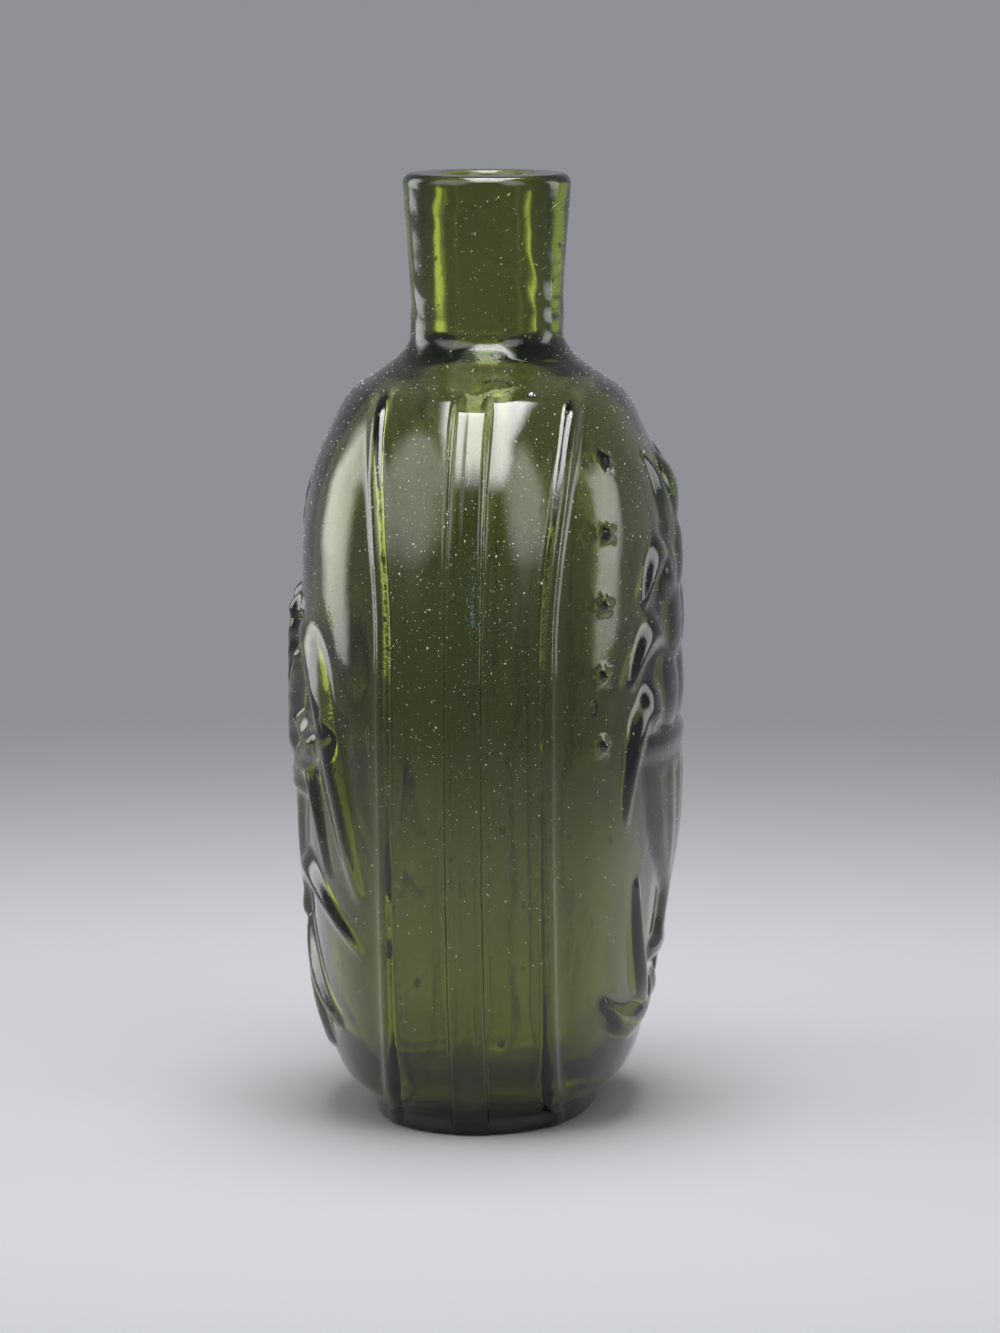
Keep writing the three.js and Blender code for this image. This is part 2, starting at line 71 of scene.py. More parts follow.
# Neck and lip
NECK_LENGTH = 29.5
NECK_DIAMETER = 28.1
WAIST_DROP = 23.0
LIP_DIAMETER = 30.9
LIP_EDGE_RADIUS = 1.8
BORE_DIAMETER = 15.6
MOUTH_DIAMETER = 18.0
MOUTH_DEPTH = 3.0

# Foot and underside
FOOT_THICKNESS = 40.4
FOOT_WIDTH = 76.0
FOOT_HEIGHT = 3.2
FOOT_EDGE_RADIUS = 0.8
RESTING_RING_WIDTH = 5.5
KICK_HEIGHT = 3.6
SCAR_SEAT_DIAMETER = 20.0

# Glass walls
FACE_WALL = 3.6
EDGE_WALL = 4.2
HEEL_WALL = 3.8
BASE_THICKNESS = 5.0
FLOOR_RIM_HEIGHT = 5.4
INNER_HEEL_RADIUS = 4.0
INNER_SHOULDER_RISE = 1.2

# Ribs of the edge bands
MIDDLE_RIB_WIDTH = 6.6
MIDDLE_RIB_HEIGHT = 1.5
SIDE_RIB_WIDTH = 3.0
SIDE_RIB_HEIGHT = 1.1
SIDE_RIB_OFFSET = 14.5
SIDE_RIB_SPREAD = 3.2
RIB_TOP_DROP = 8.5
RIB_FADE_LENGTH = 5.0
RIB_SPREAD_LENGTH = 45.0
CHANNEL_HOLLOW = 0.5
SEAM_HEIGHT = 0.14
SEAM_WIDTH = 0.4
FOOT_RIB_SHARE = 0.25
LEFT_RIB_SHARE = 0.7

# Groove on the left of the middle rib, which fades out between two heights
GROOVE_DEPTH = 0.9
GROOVE_X = -4.5
GROOVE_WIDTH = 0.9
GROOVE_FADES = (60, 112)

# Relief
LEAF_WIDTH = 8.0
BROAD_LEAF_WIDTH = 12.5
LEAF_HEIGHT = 1.7
EAR_WIDTH = 7.6
STALK_WIDTH = 3.4
STALK_HEIGHT = 1.9
TIE_WIDTH = 5.4
TIE_HEIGHT = 2.3
SPRIG_HEIGHT = 1.2
STAR_RADIUS = 2.7
STAR_HEIGHT = 1.4
STAR_INSET = 14.0
STAR_PITCH = 12.6
LOWEST_STAR = 71.6
STARS_IN_ROW = 5

# Powers of the oval sections
BODY_POWER = 2.2
ROUND_POWER = 2.0
ROUNDING_LENGTH = 22.0

# Waves of the glass: height and length in millimetres, seed, and how dense they are along x, y and z
OUTER_WAVES = [
    (0.14, 40, 3, (1, 1, 1)),
    (0.035, 11, 4, (1, 1, 0.5)),
]
INNER_WAVES = [
    (0.22, 48, 11, (1, 1, 0.4)),
    (0.07, 14, 12, (1, 1, 0.12)),
]
TOOL_MARKS = [(0.04, 7, 5, (0.15, 0.15, 1))]
NECK_WAVES = [(0.24, 12, 13, (1, 1, 0.4))]
FLOOR_WAVES = [(0.15, 14, 21, (1, 1, 1))]
ECHO_SHARE = 0.45

# Spiral cords of the neck: height, number around it, and turn in radians for each millimetre up
CORD_HEIGHT = 0.07
CORDS_AROUND = 5
CORD_TURN = 0.9

# Worked out from the sizes above
NECK_BASE = FLASK_HEIGHT - NECK_LENGTH
BODY_HEIGHT = NECK_BASE - FOOT_HEIGHT
PANEL_HALF = BODY_WIDTH / 2 - MIDDLE_RIB_HEIGHT
RIB_TOP = NECK_BASE - RIB_TOP_DROP
FLOOR_HEIGHT = KICK_HEIGHT + BASE_THICKNESS
INNER_NECK_BASE = NECK_BASE + INNER_SHOULDER_RISE
INNER_HEEL_TOP = FLOOR_RIM_HEIGHT + INNER_HEEL_RADIUS
LIP_START = FLASK_HEIGHT - LIP_EDGE_RADIUS
MOUTH_START = FLASK_HEIGHT - MOUTH_DEPTH

# Outlines: share of the way up, then shares of the way to the belly's thickness and width
HEEL_SHARES = np.array([
    [0, 0, 0], [0.064, 0.44, 0.17], [0.144, 0.63, 0.33],
    [0.36, 0.81, 0.68], [0.69, 0.96, 0.95], [1, 1, 1],
])
SHOULDER_SHARES = np.array([
    [0, 1, 1], [0.4, 0.99, 0.93], [0.605, 0.915, 0.8], [0.744, 0.74, 0.63],
    [0.837, 0.57, 0.44], [0.899, 0.28, 0.23], [0.946, 0.09, 0.08], [1, 0, 0],
])

# Points of the ribbed part and the side part of each quarter. The inner skin has a third as many.
BAND_POINTS = 54
SIDE_POINTS = 63
QUARTER = BAND_POINTS + SIDE_POINTS
AROUND = 4 * QUARTER
COARSER = 3


def smoothstep(x, low, high):
    t = np.clip((x - low) / (high - low), 0, 1)
    return t * t * (3 - 2 * t)


def lerp(a, b, t):
    return a + (b - a) * t


def curve_through(rows, column, flat_start):
    """Smooth curve through a column of a share table, flat at its end, that never overshoots its rows."""
    at, value = rows[:, 0], rows[:, column]
    span = np.diff(at)
    secant = np.diff(value) / span
    product = secant[:-1] * secant[1:]
    safe_sum = np.where(product > 0, secant[:-1] + secant[1:], 1)
    inner = np.where(product > 0, 2 * product / safe_sum, 0)
    slope = np.concatenate([[0 if flat_start else secant[0]], inner, [0]])

    def curve(share):
        share = np.clip(share, 0, 1)
        i = np.clip(np.searchsorted(at, share, side="right") - 1, 0, len(span) - 1)
        t = (share - at[i]) / span[i]
        rise = t * t * (3 - 2 * t)
        pull = t * (1 - t) ** 2 * span[i] * slope[i] + t * t * (t - 1) * span[i] * slope[i + 1]
        return lerp(value[i], value[i + 1], rise) + pull

    return curve


HEEL_CURVES = [curve_through(HEEL_SHARES, column, False) for column in (1, 2)]
SHOULDER_CURVES = [curve_through(SHOULDER_SHARES, column, True) for column in (1, 2)]
FOOT_HALVES = (FOOT_THICKNESS / 2, FOOT_WIDTH / 2)
OUTER_FORM = {
    "heights": (FOOT_HEIGHT, BELLY_HEIGHT, NECK_BASE),
    "foot": FOOT_HALVES,
    "belly": (BODY_THICKNESS / 2, PANEL_HALF),
    "neck": (NECK_DIAMETER / 2, NECK_DIAMETER / 2),
}
INNER_FORM = {
    "heights": (INNER_HEEL_TOP, BELLY_HEIGHT, INNER_NECK_BASE),
    "foot": tuple(half - HEEL_WALL + INNER_HEEL_RADIUS for half in FOOT_HALVES),
    "belly": (BODY_THICKNESS / 2 - FACE_WALL, PANEL_HALF - EDGE_WALL),
    "neck": (BORE_DIAMETER / 2, BORE_DIAMETER / 2),
}


def body_halves(form, z):
    low, belly, top = form["heights"]
    halves = []
    for i in (0, 1):
        heel = lerp(form["foot"][i], form["belly"][i], HEEL_CURVES[i]((z - low) / (belly - low)))
        shoulder = lerp(form["neck"][i], form["belly"][i], SHOULDER_CURVES[i]((z - belly) / (top - belly)))
        halves.append(np.where(z < belly, heel, shoulder))
    return halves


def neck_radius(z):
    flare_power = 1.3
    flare = np.clip((z - FLASK_HEIGHT + WAIST_DROP) / (LIP_START - FLASK_HEIGHT + WAIST_DROP), 0, 1)
    over = np.clip(z - LIP_START, 0, LIP_EDGE_RADIUS)
    cut = LIP_EDGE_RADIUS - np.sqrt(LIP_EDGE_RADIUS**2 - over**2)
    return lerp(NECK_DIAMETER, LIP_DIAMETER, flare**flare_power) / 2 - cut


def outer_halves(z):
    """Half thickness and half width of the smooth flask at each height."""
    rise = np.clip(z, 0, FOOT_EDGE_RADIUS)
    cut = FOOT_EDGE_RADIUS - np.sqrt(rise * (2 * FOOT_EDGE_RADIUS - rise))
    body = body_halves(OUTER_FORM, z)
    neck = neck_radius(z)
    return [
        np.where(z <= FOOT_HEIGHT, FOOT_HALVES[i] - cut, np.where(z < NECK_BASE, body[i], neck))
        for i in (0, 1)
    ]


def section_power(z):
    return lerp(BODY_POWER, ROUND_POWER, smoothstep(z, NECK_BASE - ROUNDING_LENGTH, NECK_BASE))


def reach(along, along_half, across_half, power):
    share = np.clip(np.abs(along) / along_half, 0, 1)
    return across_half * (1 - share**power) ** (1 / power)


def side_rib(z):
    """Distance of the side ribs from the middle of the band."""
    return SIDE_RIB_OFFSET + SIDE_RIB_SPREAD * smoothstep(z, RIB_TOP - RIB_SPREAD_LENGTH, RIB_TOP)


def around_places(step=1):
    """For each point of a ring: its place in its quarter, and the signs of x and y there."""
    i = np.arange(0, AROUND, step)
    half_turn = 2 * QUARTER
    place = i % half_turn
    place = np.minimum(place, half_turn - place)
    sign_x = np.where(i < half_turn, 1, -1)
    sign_y = np.where((i < QUARTER) | (i > 3 * QUARTER), -1, 1)
    return place, sign_x, sign_y


def ring_grid(z, halves, step=1, spread=None):
    """Points of oval rings, one row for each height, as arrays of x and y before any relief."""
    z = np.asarray(z, float)[:, None]
    half_x, half_y = (np.asarray(half, float)[:, None] for half in halves)
    power = section_power(z)
    band_limit_share = 0.82
    band = np.minimum(side_rib(z) + SIDE_RIB_WIDTH / 2, band_limit_share * outer_halves(z)[0])
    if spread is not None:
        band = band * spread[:, None]
    place, sign_x, sign_y = around_places(step)
    band_share = np.clip(place / BAND_POINTS, 0, 1)[None, :]
    side_share = np.clip((place - BAND_POINTS) / SIDE_POINTS, 0, 1)[None, :]
    band_end = reach(band, half_x, half_y, power)
    in_band = (place <= BAND_POINTS)[None, :]
    side_y = band_end * (1 - side_share)
    x = np.where(in_band, band * band_share, reach(side_y, half_y, half_x, power))
    y = np.where(in_band, reach(band * band_share, half_x, half_y, power), side_y)
    return x * sign_x, y * sign_y


def grid_normals(points):
    """Outward normals of a grid of rings that runs upward and counter-clockwise."""
    across = np.roll(points, -1, axis=1) - np.roll(points, 1, axis=1)
    up = np.gradient(points, axis=0)
    normal = np.cross(across, up)
    length = np.linalg.norm(normal, axis=2, keepdims=True)
    return normal / np.maximum(length, 1e-9)


def ripple(points, wavelength, seed, stretch=(1, 1, 1)):
    """Smooth waviness between about -1 and 1, the same on every run."""
    random = np.random.default_rng(seed)
    waves = 14
    total = np.zeros(points.shape[:-1])
    for _ in range(waves):
        direction = random.normal(size=3)
        direction *= np.array(stretch) / np.linalg.norm(direction)
        scale = random.uniform(0.6, 1.6)
        phase = random.uniform(0, 2 * math.pi)
        total += np.sin(points @ direction * (2 * math.pi * scale / wavelength) + phase)
    return total / math.sqrt(waves / 2) / 2


def waviness(points, rows):
    return sum(height * ripple(points, *wave) for height, *wave in rows)


# Relief: each motif is a height over a place on a broad face, with y across and z up
def panel_place(shares):
    shares = np.asarray(shares, float)
    return np.stack([shares[..., 0] * PANEL_HALF, FOOT_HEIGHT + shares[..., 1] * BODY_HEIGHT], axis=-1)


def along_curve(shares, y, z):
    """Share of the way along a three-point curve, and the distance from it, for each place."""
    start, pull, end = panel_place(shares)
    steps = 22
    t = np.linspace(0, 1, steps + 1)[:, None]
    points = (1 - t) ** 2 * start + 2 * t * (1 - t) * pull + t**2 * end
    best = np.full(y.shape, 1e9)
    share = np.zeros(y.shape)
    offset = np.zeros(y.shape)
    for i in range(steps):
        a, b = points[i], points[i + 1]
        run = b - a
        length = float(np.hypot(*run))
        low = 0 if i else -0.4
        high = 1 if i < steps - 1 else 1.4
        part = np.clip(((y - a[0]) * run[0] + (z - a[1]) * run[1]) / length**2, low, high)
        dy, dz = y - a[0] - part * run[0], z - a[1] - part * run[1]
        distance = np.hypot(dy, dz)
        nearer = distance < best
        best = np.where(nearer, distance, best)
        share = np.where(nearer, (i + part) / steps, share)
        side = np.sign(run[0] * dz - run[1] * dy)
        offset = np.where(nearer, side * distance, offset)
    return share, offset


def mirrored(curves):
    curves = [np.asarray(curve, float) for curve in curves]
    turned = [curve * np.array([-1, 1]) for curve in curves if curve[0][0] + curve[2][0] > 0]
    return curves + turned


def leaf_height(shares, width, height, y, z):
    """Leaf with a raised midrib and slanting veins on a gentle dome."""
    tip_share = 0.22
    vein_count, vein_slant, vein_depth = 8, 1.2, 0.09
    midrib_height, midrib_width = 0.12, 0.6
    share, offset = along_curve(shares, y, z)
    inside = (share > 0) & (share < 1)
    fullness = lerp(tip_share, 1, np.sin(math.pi * np.clip(share, 0, 1) ** 0.8))
    q = np.abs(offset) / (width * fullness / 2)
    dome = (1 - np.clip(q, 0, 1) ** 2) ** 1.3
    lines = 0.5 + 0.5 * np.sin(2 * math.pi * (vein_count * share - vein_slant * q))
    veins = vein_depth * lines * np.clip(3 * q * (1 - q), 0, 1)
    midrib = midrib_height * np.exp(-((offset / midrib_width) ** 2))
    return np.where(inside, height * np.sqrt(fullness) * (dome * (1 - veins) + midrib * (q < 1)), 0)


def ear_height(shares, y, z):
    """Stalk that ends in a low bed with pairs of plump oval kernels on it, each with a fine beard."""
    stalk_share = 0.4
    pairs = 5
    bed_share = 0.74
    beard_height, beard_width = 0.7, 0.7
    kernel_rise = RELIEF_HEIGHT * (1 - bed_share)
    share, offset = along_curve(shares, y, z)
    q = np.clip(np.abs(offset) / (STALK_WIDTH / 2), 0, 1)
    total = np.where((share > 0) & (share < 0.9), STALK_HEIGHT * (1 - q**2) ** 1.2, 0)
    along = np.clip((share - stalk_share) / (1 - stalk_share), 0, 1)
    bed_half = EAR_WIDTH / 2 * np.sqrt(np.clip(4 * along * (1 - along), 0, 1)) ** 0.7
    q = np.clip(np.abs(offset) / np.maximum(bed_half, 0.01), 0, 1)
    bed = RELIEF_HEIGHT * bed_share * (1 - q**2) ** 0.9
    bed = bed * smoothstep(along, 0, 0.16) * (1 - smoothstep(along, 0.84, 1))
    total = np.maximum(total, np.where(share < 1, bed, 0))
    start, pull, end = panel_place(shares)
    lean = math.radians(24)
    kernels = np.zeros(y.shape)
    for i in range(2 * pairs + 1):
        tip = i == 2 * pairs
        side = 0 if tip else (1 if i % 2 else -1)
        t = 0.93 if tip else lerp(stalk_share + 0.07, 0.88, i / (2 * pairs))
        place = (1 - t) ** 2 * start + 2 * t * (1 - t) * pull + t**2 * end
        tangent = 2 * (1 - t) * (pull - start) + 2 * t * (end - pull)
        tangent /= np.hypot(*tangent)
        across = np.array([-tangent[1], tangent[0]])
        direction = tangent * math.cos(side * lean) + across * math.sin(side * lean)
        centre = place + across * side * EAR_WIDTH * 0.2
        plump = 0.75 + 0.25 * math.sin(math.pi * (i + 1) / (2 * pairs + 1))
        length, width = EAR_WIDTH * 0.8, EAR_WIDTH * 0.44 * plump
        dy, dz = y - centre[0], z - centre[1]
        forward = (dy * direction[0] + dz * direction[1]) / (length / 2)
        sideways = (dz * direction[0] - dy * direction[1]) / (width / 2)
        kernel = kernel_rise * np.clip(1 - forward**2 - sideways**2, 0, 1) ** 0.8
        kernels = np.maximum(kernels, kernel)
        run = direction * EAR_WIDTH
        part = np.clip((dy * run[0] + dz * run[1]) / (run @ run), 0, 1)
        gap = np.hypot(dy - part * run[0], dz - part * run[1])
        beard = beard_height * (1 - part) ** 0.5 * np.exp(-((gap / beard_width) ** 2))
        total = np.maximum(total, beard)
    return total + kernels


EAR_SHARES = [
    [[0, 0.26], [0, 0.48], [0, 0.69]], [[0.05, 0.26], [0.1, 0.5], [0.23, 0.675]],
    [[0.1, 0.26], [0.24, 0.51], [0.46, 0.61]], [[0.15, 0.255], [0.36, 0.48], [0.67, 0.49]],
]
BROAD_LEAF_SHARES = [[[0.34, 0.62], [0.66, 0.64], [0.81, 0.29]]]
SHEAF_LEAF_SHARES = [
    [[0.3, 0.5], [0.52, 0.52], [0.64, 0.31]], [[0.14, 0.27], [0.42, 0.37], [0.77, 0.215]],
]
SHEAF_FOOT_SHARES = [
    [[0, 0.24], [0, 0.15], [0, 0.06]], [[0.05, 0.24], [0.1, 0.14], [0.19, 0.06]],
    [[0.1, 0.24], [0.19, 0.14], [0.36, 0.075]], [[0.14, 0.24], [0.3, 0.16], [0.52, 0.11]],
]
SPRIG_SHARES = [
    [[0, 0.73], [0, 0.77], [0, 0.83]], [[0.02, 0.73], [0.13, 0.74], [0.19, 0.79]],
]
TIE_SHARES = [[-0.19, 0.245], [0, 0.25], [0.19, 0.245]]

# Shallow field above the sheaf, sunk between two heights
SINK_DEPTH = 1.2
SINK_START, SINK_END = 97.5, 113.0
SINK_HALF_WIDTH = 34.0


def sheaf_height(y, z):
    """Sheaf of grain with its leaves and tie, in a face that sinks above it."""
    sink_low = smoothstep(z, SINK_START - 3, SINK_START + 2)
    sink_high = 1 - smoothstep(z, lerp(SINK_START, SINK_END, 0.4), SINK_END)
    sink_side = 1 - smoothstep(np.abs(y), SINK_HALF_WIDTH / 2, SINK_HALF_WIDTH)
    total = np.zeros(y.shape)
    leaves = [
        (BROAD_LEAF_SHARES, BROAD_LEAF_WIDTH, LEAF_HEIGHT),
        (SHEAF_LEAF_SHARES, LEAF_WIDTH, LEAF_HEIGHT),
        (SHEAF_FOOT_SHARES, LEAF_WIDTH, STALK_HEIGHT),
        (SPRIG_SHARES, STALK_WIDTH, SPRIG_HEIGHT),
    ]
    for curves, width, height in leaves:
        for curve in mirrored(curves):
            total = np.maximum(total, leaf_height(curve, width, height, y, z))
    for curve in mirrored(EAR_SHARES):
        total = np.maximum(total, ear_height(curve, y, z))
    share, offset = along_curve(TIE_SHARES, y, z)
    q = np.abs(offset) / (TIE_WIDTH / 2)
    strands, strand_slant, strand_depth = 7, 0.8, 0.16
    turns = strands * share + strand_slant * offset / TIE_WIDTH
    twist = 1 - strand_depth * (1 + np.sin(2 * math.pi * turns))
    ends = smoothstep(share, 0, 0.08) * (1 - smoothstep(share, 0.92, 1))
    total = np.maximum(total, TIE_HEIGHT * np.clip(1 - q**4, 0, 1) ** 0.7 * twist * ends)
    return total - SINK_DEPTH * sink_low * sink_high * sink_side


URN_SHARES = np.array([
    [0.176, 0.22, 0], [0.182, 0.24, 0.6], [0.2, 0.24, 0.7], [0.21, 0.13, 0.6],
    [0.228, 0.075, 0.6], [0.262, 0.075, 0.65], [0.283, 0.14, 0.7], [0.315, 0.27, 0.85],
    [0.36, 0.38, 1], [0.42, 0.45, 1], [0.455, 0.47, 0.9], [0.463, 0.53, 0.95],
    [0.485, 0.53, 1], [0.494, 0.5, 0.4], [0.5, 0.48, 0],
])
FRUIT_SHARES = [
    [0, 0.545, 0.14], [0.24, 0.54, 0.13], [0.43, 0.525, 0.1], [0.12, 0.63, 0.13],
    [0, 0.71, 0.12], [0.21, 0.695, 0.1], [0, 0.802, 0.115],
]
URN_LEAF_SHARES = [
    [[0.4, 0.53], [0.56, 0.54], [0.6, 0.38]], [[0.26, 0.6], [0.44, 0.66], [0.57, 0.56]],
    [[0.2, 0.71], [0.36, 0.75], [0.45, 0.66]], [[0.05, 0.76], [0.18, 0.78], [0.25, 0.85]],
    [[0.08, 0.15], [0.34, 0.07], [0.6, 0.15]], [[0.2, 0.13], [0.4, 0.17], [0.47, 0.3]],
]
HEAP_SHARES = np.array([
    [0.47, 0.5], [0.55, 0.5], [0.64, 0.37], [0.73, 0.28], [0.82, 0.13], [0.86, 0.04],
])


def urn_height(y, z):
    """Fluted urn heaped with fruit and leaves."""
    up = (z - FOOT_HEIGHT) / BODY_HEIGHT
    half = np.interp(up, URN_SHARES[:, 0], URN_SHARES[:, 1]) * PANEL_HALF
    lift = np.interp(up, URN_SHARES[:, 0], URN_SHARES[:, 2], left=0, right=0) * RELIEF_HEIGHT
    q = np.clip(np.abs(y) / half, 0, 1)
    flutes, flute_depth = 9, 0.13
    bowl = smoothstep(up, 0.29, 0.32) * (1 - smoothstep(up, 0.43, 0.45))
    fluting = 1 - flute_depth * bowl * (0.5 + 0.5 * np.cos(2 * flutes * np.arcsin(q * np.sign(y))))
    total = lift * (1 - q**2.4) ** 0.8 * fluting
    for curve in mirrored(URN_LEAF_SHARES):
        total = np.maximum(total, leaf_height(curve, LEAF_WIDTH, LEAF_HEIGHT, y, z))
    heap_half = np.maximum(np.interp(up, HEAP_SHARES[:, 0], HEAP_SHARES[:, 1]) * PANEL_HALF, 0.01)
    q = np.clip(np.abs(y) / heap_half, 0, 1)
    bed_share = 0.66
    dimple_depth, dimple_width = 0.16, 1.1
    heap = bed_share * (1 - q**2.4) ** 1.2 * smoothstep(up, HEAP_SHARES[0, 0], 0.5)
    heap = heap * (1 - smoothstep(up, 0.8, HEAP_SHARES[-1, 0]))
    fruits = np.zeros(y.shape)
    for across, height, radius in FRUIT_SHARES:
        for side in (-1, 1) if across else (1,):
            centre_y, centre_z = panel_place([side * across, height])
            r = radius * PANEL_HALF
            distance = np.hypot(y - centre_y, z - centre_z)
            ball = (1 - np.clip(distance / r, 0, 1) ** 2) ** 0.75
            from_dimple = np.hypot(y - centre_y, z - centre_z - 0.2 * r)
            dimple = dimple_depth * np.exp(-(from_dimple / dimple_width) ** 2)
            fruits = np.maximum(fruits, ball - dimple)
    return np.maximum(total, RELIEF_HEIGHT * np.maximum(heap + (1 - bed_share) * fruits, 0.8 * fruits))


def star_height(y, z):
    """Rows of five-pointed stars that follow both edges of the panel."""
    total = np.zeros(y.shape)
    fifth = 2 * math.pi / 5
    notch_share = 0.48
    notch = notch_share * STAR_RADIUS * np.array([math.cos(fifth / 2), math.sin(fifth / 2)])
    for i in range(STARS_IN_ROW):
        centre_z = LOWEST_STAR + i * STAR_PITCH
        centre_y = float(outer_halves(np.array([centre_z]))[1][0]) - STAR_INSET
        dy, dz = np.abs(y) - centre_y, z - centre_z
        angle = np.arctan2(dz, dy) - math.pi / 2
        fold = np.abs((angle + fifth / 2) % fifth - fifth / 2)
        slope = np.cos(fold) * notch[1] - np.sin(fold) * (notch[0] - STAR_RADIUS)
        edge = STAR_RADIUS * notch[1] / slope
        total = np.maximum(total, STAR_HEIGHT * np.clip(1.1 * (1 - np.hypot(dy, dz) / edge), 0, 1) ** 0.8)
    return total


def soften(height, times):
    """Rounds a grid of heights, as the hot glass rounds the mold's edges."""
    for _ in range(times):
        height = (np.roll(height, 1, axis=1) + 2 * height + np.roll(height, -1, axis=1)) / 4
        padded = np.concatenate([height[:1], height, height[-1:]])
        height = (padded[:-2] + 2 * height + padded[2:]) / 4
    return height


def rib_heights(x, y, z):
    """Ribs, hollow channels, the groove and the mold's seam on both edge bands."""
    flank_start, flank_end, crown_drop = 0.8, 1.15, 0.06
    side_half = 0.55 * SIDE_RIB_WIDTH
    across = np.abs(x)
    worn_foot = lerp(FOOT_RIB_SHARE, 1, smoothstep(z, 0, FOOT_HEIGHT))
    shown = worn_foot * (1 - smoothstep(z, RIB_TOP - RIB_FADE_LENGTH, RIB_TOP))
    middle = across / (MIDDLE_RIB_WIDTH / 2)
    crown = 1 - crown_drop * np.clip(middle, 0, 1) ** 2
    rib = MIDDLE_RIB_HEIGHT * (1 - smoothstep(middle, flank_start, flank_end)) * crown
    side = np.clip(np.abs(across - side_rib(z)) / side_half, 0, 1)
    side_height = SIDE_RIB_HEIGHT * np.where(x < 0, LEFT_RIB_SHARE, 1)
    rib = np.maximum(rib, side_height * (1 - side**2.2) ** 1.1)
    channel_start, channel_end = MIDDLE_RIB_WIDTH / 2, side_rib(z) - SIDE_RIB_WIDTH / 2
    channel = (across - channel_start) / (channel_end - channel_start)
    hollow = CHANNEL_HOLLOW * np.clip(1 - (2 * channel - 1) ** 2, 0, 1)
    groove = GROOVE_DEPTH * np.exp(-(((x - GROOVE_X) / GROOVE_WIDTH) ** 2))
    groove = groove * (1 - smoothstep(z, *GROOVE_FADES))
    seam = SEAM_HEIGHT * np.exp(-((x / SEAM_WIDTH) ** 2))
    near_edge = np.abs(y) > 0.5 * reach(side_rib(z), *outer_halves(z), BODY_POWER)
    return np.where(near_edge, (rib - hollow + seam - groove) * shown, 0)


def joined(*spans):
    """Spans of heights in one row, where each begins at the last height of the one before."""
    return np.concatenate([spans[0], *(span[1:] for span in spans[1:])])


def outer_rows():
    """Heights of the outer skin's rings, closest together where the shape turns most."""
    return joined(
        FOOT_EDGE_RADIUS * (1 - np.cos(np.linspace(0, math.pi / 2, 6))),
        np.linspace(FOOT_EDGE_RADIUS, FOOT_HEIGHT, 5),
        np.linspace(FOOT_HEIGHT, RIB_TOP - RIB_FADE_LENGTH, 215),
        np.linspace(RIB_TOP - RIB_FADE_LENGTH, NECK_BASE, 40),
        np.linspace(NECK_BASE, LIP_START, 36),
        LIP_START + LIP_EDGE_RADIUS * np.sin(np.linspace(0, math.pi / 2, 12)),
    )


def grid_points(x, y, z):
    return np.stack([x, y, np.broadcast_to(np.asarray(z)[:, None], x.shape)], axis=-1)


def outer_skin():
    """Rings of the outer skin with ribs, relief and waviness, and the heights that were added."""
    z = outer_rows()
    x, y = ring_grid(z, outer_halves(z))
    base = grid_points(x, y, z)
    up = base[..., 2]
    ribs = rib_heights(x, y, up)
    flat = grid_normals(base)
    relief = np.where(x > 0, urn_height(y, up), 0)
    relief = np.where(x < 0, sheaf_height(y, up), relief)
    stars = np.where(x > 0, star_height(y, up), 0)
    fade = smoothstep(up, FOOT_HEIGHT, 2 * FOOT_HEIGHT)
    raised = np.maximum(soften(ribs, 1) + soften(relief * fade, 2), stars)
    lip_calm = 6
    loose = smoothstep(up, 0, 3 * FOOT_HEIGHT) * (1 - smoothstep(up, FLASK_HEIGHT - lip_calm, FLASK_HEIGHT))
    drawn = smoothstep(up, RIB_TOP, NECK_BASE)
    turned = CORDS_AROUND * np.arctan2(base[..., 1], base[..., 0]) + up * CORD_TURN
    cords = CORD_HEIGHT * np.sin(turned + 2 * ripple(base, 18, 6)) * (0.5 + ripple(base, 20, 7))
    wave = waviness(base, OUTER_WAVES) + drawn * (waviness(base, TOOL_MARKS) + cords)
    points = base + flat * (raised + loose * wave)[..., None]
    return points, raised, z


def inner_rows():
    return joined(
        FLOOR_RIM_HEIGHT + INNER_HEEL_RADIUS * (1 - np.cos(np.linspace(0.12, 1, 7) * math.pi / 2)),
        np.linspace(INNER_HEEL_TOP, RIB_TOP, 110),
        np.linspace(RIB_TOP, INNER_NECK_BASE, 16),
        np.linspace(INNER_NECK_BASE, MOUTH_START, 16),
        MOUTH_START + MOUTH_DEPTH * np.sin(np.linspace(0, math.pi / 2, 10)),
    )


def inner_halves(z):
    """Half thickness and half width of the hollow at each height."""
    body = body_halves(INNER_FORM, z)
    over = np.clip((z - MOUTH_START) / MOUTH_DEPTH, 0, 1)
    mouth = lerp(BORE_DIAMETER, MOUTH_DIAMETER, 1 - np.sqrt(1 - over**2)) / 2
    under = np.clip((INNER_HEEL_TOP - z) / INNER_HEEL_RADIUS, 0, 1)
    cut = INNER_HEEL_RADIUS * (1 - np.sqrt(1 - under**2))
    return [np.where(z > INNER_NECK_BASE, mouth, body[i] - cut) for i in (0, 1)]


